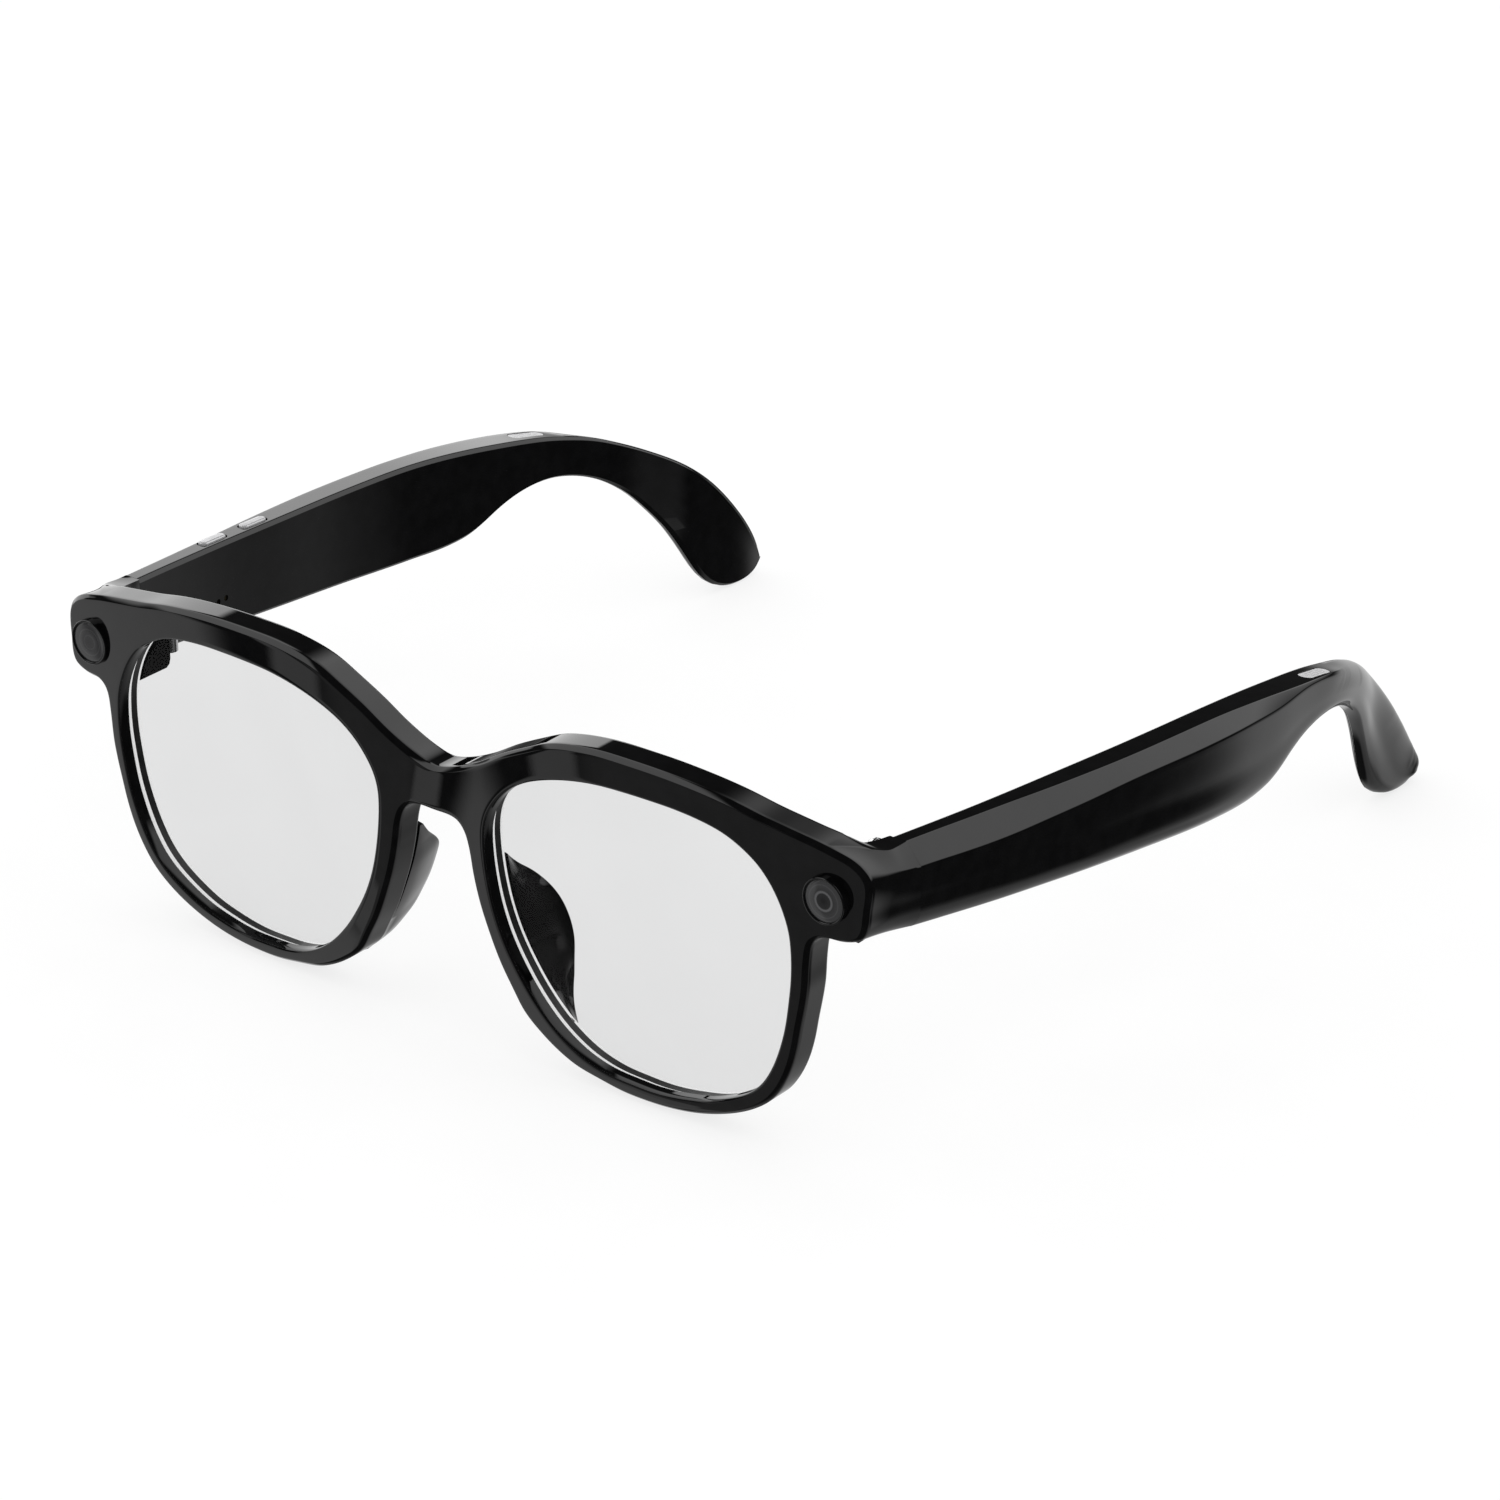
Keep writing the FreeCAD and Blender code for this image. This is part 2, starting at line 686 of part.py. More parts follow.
# heights where the temple's knuckle meets the two knuckles of the front leaf
LOW_SPLIT, HIGH_SPLIT = "-3.37", "-0.11"
TEMPLE_SCREW_PLACES = ("dims.temple_screw_first", "dims.temple_screw_second")


def knuckle(label, low, high, reach_low, reach_high):
    """Barrel of a hinge between two heights, with the arm that carries it."""
    barrel = cylinder(label + "_barrel", "z", ("dims.hinge_x", "dims.hinge_y", low),
                      "(%s) - (%s)" % (high, low), "2 * dims.knuckle_radius")
    arm = box(label + "_arm", (reach_low[0], reach_low[1], low), (reach_high[0], reach_high[1], high))
    return [barrel, arm]


def pin_hole(label):
    return cylinder(label, "z", ("dims.hinge_x", "dims.hinge_y", "-8"), "14",
                    "dims.screw_dia + 2 * dims.screw_play")


def front_leaf():
    low = ("dims.hinge_x - 0.8", "dims.endpiece_back - 0.2")
    high = ("dims.hinge_x + 0.8", "dims.hinge_y")
    solids = knuckle("front_low_knuckle", "dims.knuckle_bottom", LOW_SPLIT + " - dims.knuckle_gap / 2", low,
                     high)
    solids += knuckle("front_high_knuckle", HIGH_SPLIT + " + dims.knuckle_gap / 2", "dims.knuckle_top", low,
                      high)
    solids.append(box("front_leaf_plate", ("61", "dims.endpiece_back - 0.9", "dims.knuckle_bottom"),
                      ("65.2", "dims.endpiece_back - 0.1", "dims.knuckle_top")))
    screw_holes = [cylinder("front_plate_hole_%d" % number, "y",
                            ("dims.leaf_screw_x", FRONT_SCREW_FOOT, height),
                            "6", SCREW_HOLE)
                   for number, height in enumerate(FRONT_SCREW_HEIGHTS)]
    heads = [cylinder("front_plate_head_%d" % number, "y",
                      ("dims.leaf_screw_x", "dims.endpiece_back - 0.5", height), "2", SCREW_HEAD_HOLE)
             for number, height in enumerate(FRONT_SCREW_HEIGHTS)]
    return cut(fuse(solids, "front_leaf_blank"), [pin_hole("front_leaf_bore")] + screw_holes + heads,
               "left_front_hinge_leaf")


def temple_leaf():
    low = ("dims.hinge_x", "13.05")
    high = ("68.6", "14.9")
    solids = knuckle("temple_knuckle", LOW_SPLIT + " + dims.knuckle_gap / 2",
                     HIGH_SPLIT + " - dims.knuckle_gap / 2", low, high)
    solids.append(box("temple_leaf_plate", ("68.6 - dims.leaf_thickness", "14.8", "-4"),
                      ("68.6", "24.5", "1")))
    holes = [cylinder("temple_plate_hole_%d" % number, "x", ("66", along, "dims.temple_screw_z"), "6",
                      SCREW_HOLE)
             for number, along in enumerate(TEMPLE_SCREW_PLACES)]
    heads = [cylinder("temple_plate_head_%d" % number, "x", ("66", along, "dims.temple_screw_z"),
                      "2.25", SCREW_HEAD_HOLE)
             for number, along in enumerate(TEMPLE_SCREW_PLACES)]
    return cut(fuse(solids, "temple_leaf_blank"), [pin_hole("temple_leaf_bore")] + holes + heads,
               "left_temple_hinge_leaf")


def hinge_screw():
    """Slotted screw with a domed head; its shank is the hinge pin."""
    body = new_body("left_hinge_screw")
    profile = new_sketch(body, "screw_profile", "XZ_Plane", "-dims.hinge_y")
    axis_x, shank, head = dim("hinge_x"), dim("screw_dia") / 2, dim("knuckle_radius") * 0.96
    foot, seat_z = dim("knuckle_bottom") + 0.1, dim("knuckle_top") + 0.03
    points = [Vector(axis_x, foot), Vector(axis_x + shank, foot), Vector(axis_x + shank, seat_z),
              Vector(axis_x + head, seat_z), Vector(axis_x + head, seat_z + 0.15)]
    crown = Vector(axis_x, seat_z + 0.75)
    shoulder = Vector(axis_x + head * 0.72, seat_z + 0.55)
    for start, end in zip(points, points[1:]):
        profile.addGeometry(Part.LineSegment(start, end))
    profile.addGeometry(Part.Arc(points[-1], shoulder, crown))
    spine = profile.addGeometry(Part.LineSegment(crown, points[0]))
    screw = body.newObject("PartDesign::Revolution", "screw_turned")
    screw.Profile = profile
    screw.ReferenceAxis = (profile, ["Edge%d" % (spine + 1)])
    screw.Angle = 360
    slot = new_sketch(body, "screw_slot", "XZ_Plane", "-dims.hinge_y")
    rectangle(slot, "dims.hinge_x - 0.15", "dims.hinge_x + 0.15", "dims.knuckle_top + 0.5",
              "dims.knuckle_top + 2")
    pocket(body, "screw_slot_cut", slot)
    return body


keep_pair(front_leaf(), "left_front_hinge_leaf", "right_front_hinge_leaf")
temple_hinge_leaf = keep(temple_leaf())
keep(mirror(temple_hinge_leaf, "right_temple_hinge_leaf"))
keep_pair(hinge_screw(), "left_hinge_screw", "right_hinge_screw")


def small_screw(label, axis, foot, length, head_start):
    shank = cylinder(label + "_shank", axis, foot, length, "dims.leaf_screw_dia")
    head = cylinder(label + "_head", axis, head_start, "0.35", "dims.leaf_screw_head_dia")
    return [shank, head]


def screw_group(label, axis, feet, length, heads):
    solids = []
    for number, (foot, head) in enumerate(zip(feet, heads)):
        solids.append(fuse(small_screw("%s_%d" % (label, number), axis, foot, length, head),
                           "%s_solid_%d" % (label, number)))
    return solids


left_screws = screw_group("front_screw", "y",
                          [("dims.leaf_screw_x", FRONT_SCREW_FOOT,
                            height) for height in FRONT_SCREW_HEIGHTS],
                          "dims.leaf_screw_reach - 0.4",
                          [("dims.leaf_screw_x", "dims.endpiece_back - 0.45", height)
                           for height in FRONT_SCREW_HEIGHTS])
all_screws = left_screws + [mirror(screw, "right_" + screw.Label) for screw in left_screws]
group = doc.addObject("Part::Compound", "front_leaf_screws")
group.Links = all_screws
group.Label = "front_leaf_screws"
keep(group)

temple_screws = screw_group("temple_screw", "x",
                            [("68.1", along, "dims.temple_screw_z") for along in TEMPLE_SCREW_PLACES], "2",
                            [("67.87", along, "dims.temple_screw_z") for along in TEMPLE_SCREW_PLACES])
left_group = doc.addObject("Part::Compound", "left_temple_leaf_screws")
left_group.Links = temple_screws
keep_pair(left_group, "left_temple_leaf_screws", "right_temple_leaf_screws")


# ---------------------------------------------------------------- temples

def temple_strip(start, end, inner, outer, inset):
    """Sheet along the inner face between two y values and two widths."""
    return loft([strip_section(position, inner, outer, inset) for position in stations(start, end, 20)])


def wire_path(start, end, count):
    """Middle line of the temple between its cover and its outer face."""
    points = []
    for position in stations(start, end, count):
        y = edge_point(TOP_EDGE, position)[0]
        width = (dim("cover_thickness") + smooth(FULL_WIDTH, y)) / 2
        top, low = [temple_point(position, width, down) for down in (0, temple_height(position))]
        points.append((top + low) * 0.5)
    return points


def round_wire(points, diameter):
    curve = Part.BSplineCurve()
    curve.interpolate(points)
    heading = curve.tangent(curve.FirstParameter)[0]
    ring = Part.Wire([Part.Circle(points[0], heading, diameter / 2).toShape()])
    return Part.Wire([curve.toShape()]).makePipeShell([ring], True, False)


def pill_outline(sketch, length, width):
    """Pill shape along the sketch's Y, centred on its origin."""
    reach, radius = (length - width) / 2, width / 2
    sketch.addGeometry(Part.Arc(Vector(radius, reach), Vector(0, reach + radius), Vector(-radius, reach)))
    sketch.addGeometry(Part.Arc(Vector(-radius, -reach), Vector(0, -reach - radius),
                                Vector(radius, -reach)))
    sketch.addGeometry(Part.LineSegment(Vector(-radius, reach), Vector(-radius, -reach)))
    sketch.addGeometry(Part.LineSegment(Vector(radius, -reach), Vector(radius, reach)))


def top_place(side, y, inset):
    """Placement on the flat top of a temple: Y runs back along the top, Z points up from it."""
    step = 0.5
    position = position_at(y)
    ahead, behind = [edge_point(TOP_EDGE, position_at(y + shift)) for shift in (-step, step)]
    slope = math.degrees(math.atan2(behind[1] - ahead[1], behind[0] - ahead[0]))
    x = side * (smooth(INNER_FACE, y) + inset)
    base = Vector(x, y - dim("origin_back"), edge_point(TOP_EDGE, position)[1] + dim("origin_down"))
    return FreeCAD.Placement(base, FreeCAD.Rotation(Vector(1, 0, 0), slope))


def pill_body(label, layers, placement):
    """Stack of pill-shaped pads; each layer is (bottom, top, length, width)."""
    body = doc.addObject("PartDesign::Body", label)
    body.Label = label
    for number, (bottom, top, length, width) in enumerate(layers):
        sketch = new_sketch(body, "%s_pill_%d" % (label, number), "XY_Plane", str(bottom))
        pill_outline(sketch, length, width)
        pad(body, "%s_layer_%d" % (label, number), sketch, str(top - bottom), backwards=False)
    body.Placement = placement
    return body


def build_temple():
    """Outer shell, inner cover and core wire of the left temple."""
    cover, inset = dim("cover_thickness"), dim("cover_inset")
    last = len(TOP_EDGE) - 1
    positions = stations(dim("temple_front"), 147, 22)
    positions += [last - 1, last - 0.5, last]
    outer = loft([outer_section(position) for position in positions])
    bay = loft([bay_section(position) for position in stations(25.5, 111, 12)])
    recess_play = 0.04
    recess = temple_strip(15.2, 147, -1, cover + recess_play, inset)
    leaf_seat = Part.makeBox(5.7, 10.95, 5.2, Vector(63, 14.75, -4.1))
    leaf_slot = Part.makeBox(5.7, 2.05, 3.4, Vector(63, 12.95, -3.44))
    path = wire_path(114, 145, 16)
    wire_play = 0.1
    shell = outer.cut([bay, recess, leaf_seat, leaf_slot, round_wire(path, 1.2 + wire_play)])
    for along in (18, 22.3):
        shell = shell.cut(Part.makeCylinder(0.47, 4, Vector(66.2, along, -1.5), Vector(1, 0, 0)))
    lid = temple_strip(15.26, 146.9, 0, cover, inset + recess_play)
    return shell, lid, round_wire(wire_path(114.3, 144.6, 16), 1.2)


shell_shape, lid_shape, wire_shape = build_temple()
vent_place = top_place(1, dim("grille_y"), 2.9)
vent = pill_body("grille_opening", [(-2.5, 2, dim("grille_length") + 0.1, dim("grille_width") + 0.1)],
                 vent_place)
left_shell = keep(cut(freeform("left_temple_blank", shell_shape), [vent], "left_temple_shell"))
left_cover = keep(freeform("left_temple_inner_cover", lid_shape))
keep_pair(freeform("left_temple_core_wire", wire_shape), "left_temple_core_wire", "right_temple_core_wire")


def build_grille():
    """Vent plate with three rows of small holes."""
    body = pill_body("left_speaker_grille",
                     [(-dim("grille_thickness") - 0.1, -0.1, dim("grille_length"),
                       dim("grille_width"))], vent_place)
    sketch = new_sketch(body, "vent_holes", "XY_Plane")
    for row in (-1, 0, 1):
        for column in range(-3, 4):
            if row == 0 or abs(column) < 3:
                circle(sketch, str(row * 0.6), str(column * 0.75), "0.35")
    pocket(body, "vent_holes_cut", sketch)
    return body


keep_pair(build_grille(), "left_speaker_grille", "right_speaker_grille")

# right shell and cover are mirror images with openings for the buttons and contacts
BUTTONS = (("power_button", "power_button_y"), ("capture_button", "capture_button_y"))
slots = []
for label, station in BUTTONS:
    seat_place = top_place(-1, dim(station), dim("button_inset"))
    length, width = dim("button_length"), dim("button_width")
    slots.append(pill_body(label + "_slot", [(-3, 2, length + 0.16, width + 0.16)], seat_place))
    keep(pill_body(label, [(-1.8, -1.5, length + 1.0, width - 0.6),
                           (-1.5, dim("button_rise"), length, width)],
                   seat_place))
keep(cut(mirror(left_shell, "right_temple_blank"), slots, "right_temple_shell"))

contact_holes = []
contact_pins = []
for number, side in enumerate((-1, 1)):
    along = "dims.contact_y + %d * dims.contact_pitch / 2" % side
    contact_holes.append(cylinder("contact_hole_%d" % number, "x", ("-70", along, "dims.contact_z"), "8",
                                  "dims.contact_dia + 0.1"))
    stem = cylinder("contact_stem_%d" % number, "x", ("-69", along, "dims.contact_z"), "1.4",
                    "dims.contact_dia")
    flange = cylinder("contact_flange_%d" % number, "x", ("-68.7", along, "dims.contact_z"), "0.3",
                      "dims.contact_dia + 0.5")
    contact_pins.append(fuse([stem, flange], "contact_pin_%d" % number))
charging_seat = box("charging_seat", ("-dims.charging_seat_x", "dims.contact_y - 2",
                                      "dims.contact_z - 1.2"),
                    ("-60", "dims.contact_y + 2", "dims.contact_z + 1.2"))
keep(cut(mirror(left_cover, "right_cover_blank"), contact_holes + [charging_seat],
         "right_temple_inner_cover"))
contacts = doc.addObject("Part::Compound", "charging_contacts")
contacts.Links = contact_pins
contacts.Label = "charging_contacts"
keep(contacts)


# ---------------------------------------------------------------- inside the temples

def tilted(block, turn, slope):
    """Turn a box about its low corner so that it follows the temple."""
    about_z = FreeCAD.Rotation(Vector(0, 0, 1), turn)
    about_x = FreeCAD.Rotation(Vector(1, 0, 0), slope)
    block.Placement.Rotation = about_z.multiply(about_x)
    return block


BOARD_TURN, BOARD_SLOPE = -4.1, -4.4
CHIP_STARTS = (2, 11, 20)


def chip(number, start):
    """Chip on the board's outer face, a distance back from the board's front end."""
    aside = start * math.tan(math.radians(-BOARD_TURN))
    fall = start * math.tan(math.radians(BOARD_SLOPE))
    low_x = "dims.board_x + dims.board_thickness - 0.05 + %.3f" % aside
    low_y = "dims.board_front + %d" % start
    low_z = "dims.board_low + dims.chip_margin + %.3f" % fall
    block = box("board_chip_%d" % number, (low_x, low_y, low_z),
                ("dims.chip_outer_x + %.3f" % aside, low_y + " + dims.chip_length",
                 low_z + " + dims.chip_width"))
    return tilted(block, BOARD_TURN, BOARD_SLOPE)


board = tilted(box("board_plate", ("dims.board_x", "dims.board_front", "dims.board_low"),
                   ("dims.board_x + dims.board_thickness", "dims.board_back", "dims.board_high")),
               BOARD_TURN, BOARD_SLOPE)
chips = [chip(number, start) for number, start in enumerate(CHIP_STARTS)]
keep_pair(fuse([board] + chips, "left_circuit_board"), "left_circuit_board", "right_circuit_board")

battery = tilted(box("left_battery", ("dims.battery_x", "dims.battery_front", "dims.battery_low"),
                     ("dims.battery_x + dims.battery_thickness", "dims.battery_back", "dims.battery_high")),
                 0, -3)
keep_pair(battery, "left_battery", "right_battery")
speaker = tilted(box("left_speaker", ("dims.speaker_x", "dims.speaker_front", "dims.speaker_low"),
                     ("dims.speaker_x + dims.speaker_thickness", "dims.speaker_back", "dims.speaker_high")),
                 3.5, -10)
keep_pair(speaker, "left_speaker", "right_speaker")
flex = tilted(box("left_speaker_flex_cable", ("dims.flex_x", "dims.flex_front", "dims.flex_low"),
                  ("dims.flex_x + dims.speaker_flex_thickness", "dims.speaker_front - 0.2",
                   "dims.flex_low + dims.speaker_flex_width")),
              0, -2)
keep_pair(flex, "left_speaker_flex_cable", "right_speaker_flex_cable")


def switch(label, outer_x, front, low):
    """Small square switch under a button."""
    high = (outer_x + " + dims.switch_height", front + " + dims.switch_length", low + " + dims.switch_width")
    return box(label, (outer_x, front, low), high)


switches = doc.addObject("Part::Compound", "button_switches")
switches.Links = [switch("power_switch", "-69.9", "dims.power_button_y - 1.5", "0.2"),
                  switch("capture_switch", "-70.65", "dims.capture_button_y - 1.5", "-0.5")]
switches.Label = "button_switches"
keep(switches)

doc.recompute()

# ---------------------------------------------------------------- checks and export

problems = ["%s: %s" % (item.Label, ", ".join(item.State)) for item in doc.Objects
            if "Invalid" in item.State or "Error" in item.State]
for label, part in parts.items():
    if part.Shape.isNull() or not part.Shape.isValid():
        problems.append("%s has no valid shape" % label)
if problems:
    raise RuntimeError("; ".join(problems))

os.makedirs("parts", exist_ok=True)
for label, part in parts.items():
    part.Shape.exportStep(os.path.join("parts", label + ".step"))
    print("%-28s %2d solids  %9.2f mm3" % (label, len(part.Shape.Solids), part.Shape.Volume))
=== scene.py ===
import math

import bmesh
import bpy
import numpy as np
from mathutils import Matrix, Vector, geometry


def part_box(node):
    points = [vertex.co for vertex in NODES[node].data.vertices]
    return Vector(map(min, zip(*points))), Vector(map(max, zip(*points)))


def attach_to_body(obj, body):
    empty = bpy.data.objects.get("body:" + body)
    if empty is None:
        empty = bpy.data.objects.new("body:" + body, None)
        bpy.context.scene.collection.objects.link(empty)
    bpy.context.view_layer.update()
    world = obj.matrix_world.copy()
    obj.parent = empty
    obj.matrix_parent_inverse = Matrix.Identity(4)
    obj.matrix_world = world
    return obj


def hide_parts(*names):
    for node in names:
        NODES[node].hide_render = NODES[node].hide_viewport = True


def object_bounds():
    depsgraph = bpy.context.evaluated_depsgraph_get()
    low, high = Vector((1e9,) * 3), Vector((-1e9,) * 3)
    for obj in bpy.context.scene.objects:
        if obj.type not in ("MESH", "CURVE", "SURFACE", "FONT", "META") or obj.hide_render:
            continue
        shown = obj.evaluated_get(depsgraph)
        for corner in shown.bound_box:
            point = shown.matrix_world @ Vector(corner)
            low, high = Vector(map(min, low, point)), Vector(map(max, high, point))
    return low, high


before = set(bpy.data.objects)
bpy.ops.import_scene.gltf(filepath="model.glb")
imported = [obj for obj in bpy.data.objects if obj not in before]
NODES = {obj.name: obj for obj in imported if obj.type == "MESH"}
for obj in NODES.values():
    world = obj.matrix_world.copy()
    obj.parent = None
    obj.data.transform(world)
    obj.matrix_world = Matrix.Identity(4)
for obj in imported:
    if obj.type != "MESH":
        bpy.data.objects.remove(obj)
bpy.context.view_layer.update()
MM = 0.001

# ------------------------------------------------------------------ where the design sits in the frame
BEZEL_LOW, BEZEL_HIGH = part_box("camera_bezel")
BEZEL_X = 64.0
BEZEL_FRONT = -0.6
ORIGIN = np.array([
    (BEZEL_LOW.x + BEZEL_HIGH.x) / 2 - BEZEL_X * MM,
    BEZEL_LOW.y - BEZEL_FRONT * MM,
    (BEZEL_LOW.z + BEZEL_HIGH.z) / 2,
])

# ------------------------------------------------------------------ measured shapes, millimetres
# Half outline of the front, from the dip over the bridge round to its underside: (x, z).
FRONT_OUTLINE = [
    (0, 0.2), (3, 0.9), (6.9, 2.6), (12, 5.6), (16, 7.6), (19.5, 9.2), (26.9, 10.7), (34, 10.9),
    (41.4, 10.6), (49.4, 9.6), (53.6, 8.7), (58, 7.9), (62.6, 7.0), (64.9, 6.4), (66.7, 5.9), (68.5, 4.9),
    (69.5, 3.8), (69.8, 0.5), (69.6, -0.9), (69.5, -3), (68.7, -4.9), (67.6, -5.4), (65.6, -5.8),
    (63.7, -5.7), (62.7, -5.9), (62.0, -6.4), (61.6, -7.2), (61.4, -8.6), (61.2, -10.7), (61, -14),
    (60.5, -17), (59.9, -19.8), (59.2, -23.2), (58, -27), (56.3, -30.3), (55, -32.1), (52, -34.6),
    (50.1, -35.7), (46.3, -37.3), (42.4, -38.4), (38.6, -39), (34.7, -39.2), (30.8, -39.1), (27, -38.5),
    (23, -37.7), (20.5, -36.6), (17.5, -34.7), (14.2, -31.7), (12.9, -29.4), (10.8, -25.6), (8.9, -21.0),
    (7.8, -17.9), (6.7, -13.6), (6.0, -9.6), (5.4, -7.8), (4.5, -6.7), (3.2, -6.3), (0, -6.3),
]
APERTURE = [
    (9.3, -8.1), (9.5, -10.9), (10.0, -14.3), (11.0, -18.4), (12.4, -22.0), (14.5, -25.8), (17, -29.4),
    (20.5, -33), (24.5, -35.5), (28.9, -36.7), (32.4, -36.9), (35.7, -37.0), (39.1, -36.7), (41.8, -36.2),
    (44.5, -35.6), (47.5, -34.4), (49.8, -33.2), (51.8, -31.9), (53.4, -30.4), (55.5, -27), (56.7, -24),
    (57.7, -20.5), (58.4, -16.3), (58.8, -12.6), (58.8, -9), (58.5, -6.3), (57.7, -3.8), (56.6, -1.5),
    (55, 0.8), (53.5, 2.3), (51.4, 3.7), (48.9, 4.9), (46.3, 5.6), (43.8, 6.0), (40.7, 6.3), (37.4, 6.4),
    (33.4, 6.4), (27.9, 6.1), (23.4, 5.3), (19.6, 4.2), (16.3, 2.8), (13.5, 0.9), (11.3, -1.5), (9.9, -3.9),
    (9.4, -5.8),
]
# Profiles of the frame's edges: (inset from the outline, depth behind the front face).
OUTER_BEVEL = [
    (1.05, 0), (0.66, 0), (0.60, 0.012), (0.54, 0.05), (0.10, 0.50), (0.05, 0.56), (0.015, 0.62), (0, 0.70),
]
WALL_DEPTHS = [1.2, 1.7, 2.2, 2.7, 3.2, 3.7, 4.2]
REAR_EDGE = [(0, 4.4), (0.06, 4.56), (0.16, 4.66), (0.3, 4.7), (1.05, 4.7)]
APERTURE_PROFILE = [
    (0.85, 0), (0.32, 0), (0.26, 0.01), (0.08, 0.12), (0, 0.3), (0, 1.1), (0, 1.93), (0.04, 1.95),
    (0.75, 1.95), (0.75, 3.0), (0.75, 4.0), (0.75, 4.55), (0.79, 4.66), (0.85, 4.7),
]
RIM_DEPTH = 4.7
WALL_START = 0.7
ENDPIECE_BACK = 11.95
ENDPIECE_TOP = (62.9, 7.0)
ENDPIECE_CORNER = (69.5, 3.9)
ENDPIECE_FOOT = (62.75, -5.9)
# Inner top edge and upper crease of the end piece: (y, x, z).
INNER_EDGE = [(5.6, 62.9, 6.93), (6.4, 63.7, 6.35), (7.3, 64.55, 5.65), (8.6, 65.0, 5.38), (11.95, 65.5, 5.0)]
UPPER_CREASE = [
    (1.6, 62.9, 6.93), (4.6, 65.5, 6.3), (6.6, 67.2, 5.65), (8.2, 68.0, 5.2), (10.2, 68.08, 5.0),
    (11.95, 68.1, 5.0),
]
# Rear edge of the left nose pad: (x, y, z).
NOSE_PAD_EDGE = [
    (6.7, 4.5, -12.4), (7.2, 6.25, -14.45), (7.9, 8.0, -15.8), (8.0, 9.0, -16.7), (8.9, 10.25, -18.25),
    (10.2, 11.25, -20.3), (11.5, 11.75, -23.0), (12.0, 11.75, -24.2), (13.05, 11.25, -26.7),
    (13.7, 10.25, -28.9), (14.7, 9.0, -30.8), (15.7, 7.75, -32.7), (17.0, 6.5, -34.1), (18.45, 5.5, -35.6),
]
# Temple edges in side view: (y, z).
TOP_EDGE = [
    (2, 5.6), (12, 5.0), (26, 4.03), (37, 3.3), (45, 2.78), (57, 2.0), (65, 1.46), (74, 0.76), (78.7, 0.27),
    (88.7, -1.09), (94, -1.97), (99.4, -2.94), (104.9, -4.1), (110, -5.5), (115, -7.1), (120, -9.3),
    (126, -12.4), (130, -14.8), (133.5, -17.4), (136.7, -20.2), (139.4, -22.9), (141.9, -25.7), (143.8, -28),
    (145.3, -30), (147, -32.5), (148.2, -34.7), (148.8, -36.2), (148.95, -37.2),
]
LOWER_EDGE = [
    (2, -5.8), (12, -7.1), (37.6, -10.4), (57, -12.7), (74, -14.6), (83.5, -15.2), (87.5, -14.9),
    (90.2, -14.1), (92.9, -13.0), (95.6, -12.1), (98.2, -11.5), (101, -11.15), (106.3, -11.3),
    (110.7, -12.3), (114.6, -13.8), (118, -15.7), (121.5, -18.4), (124.6, -21.7), (127.5, -25.3),
    (129.7, -28.7), (131.6, -31.9), (133.5, -34.9), (136.2, -37.6), (140, -39.3), (143.8, -39.75),
    (146.7, -39.3), (148.3, -38.45), (148.95, -37.2),
]
# Pairs of y on the top edge and place on the lower edge that share a cross-section.
EDGE_PAIRS = [
    ((2, 5.6), (2, -5.8)), ((12, 5.0), (12, -7.1)), ((45, 2.78), (45, -11.3)), ((74, 0.76), (76, -14.8)),
    ((94, -1.97), (90.2, -14.1)), ((110, -5.5), (102.5, -11.1)), ((120, -9.3), (111, -12.4)),
    ((130, -14.8), (118.8, -16.2)), ((139.4, -22.9), (126, -23.4)), ((145.3, -30), (131.6, -31.9)),
    ((148.95, -37.2), (148.95, -37.2)),
]
INNER_FACE = [
    (0, 64.0), (12, 65.5), (26, 66.95), (45, 68.4), (60, 69.4), (76, 69.9), (90, 69.5), (100, 68.9),
    (108, 68.3), (115, 67.2), (121.5, 65.6), (127.5, 63.4), (131.6, 61.9), (135, 61.3), (142, 61.0),
    (146, 60.95), (150, 61.4),
]
FLAT_WIDTH = [
    (12, 2.55), (18, 2.6), (25, 2.8), (31, 3.0), (37, 3.4), (44, 3.75), (50, 3.95), (70, 4.05), (77, 4.1),
    (81, 4.3), (90, 4.65), (94, 4.8), (100, 4.75), (106, 4.4), (112, 3.8), (119, 2.9), (126, 2.2),
    (130, 1.95), (133.5, 1.6), (136.7, 1.1), (139.4, 0.8), (150, 0.75),
]
FULL_WIDTH = [
    (12, 4.95), (13.5, 5.0), (21, 5.3), (28, 5.6), (36, 5.8), (44, 6.1), (52, 6.15), (80, 6.15), (91, 5.75),
    (96, 5.4), (100, 5.15), (106, 4.85), (115, 4.25), (125, 3.45), (135, 3.1), (150, 2.9),
]
SHOULDER_DROP = [
    (12, 2.9), (13.5, 2.9), (21, 3.1), (28, 3.1), (36, 2.9), (44, 2.6), (52, 2.3), (70, 2.3), (80, 2.1),
    (91, 1.5), (96, 0.7), (100, 0.45), (108, 0.6), (116, 1.3), (124, 2.1), (132, 2.8), (150, 2.9),
]
# Column and row counts of the front's patches.
FAN, RAMP_STEPS, TUBE_STEPS, INNER_COLUMNS, CENTRE_POINTS = 7, 7, 15, 26, 8
# Recess of the hinge leaf and slot of the microphone, as (low corner, high corner).
LEAF_RECESS = ((60.9, 11.0, -5.6), (65.3, 14, 3.5))
MICROPHONE_SLOT = ((64.3, 9.95, 3.35), (67.5, 11.05, 3.95))
CHANNEL_WIDTH = 1.7
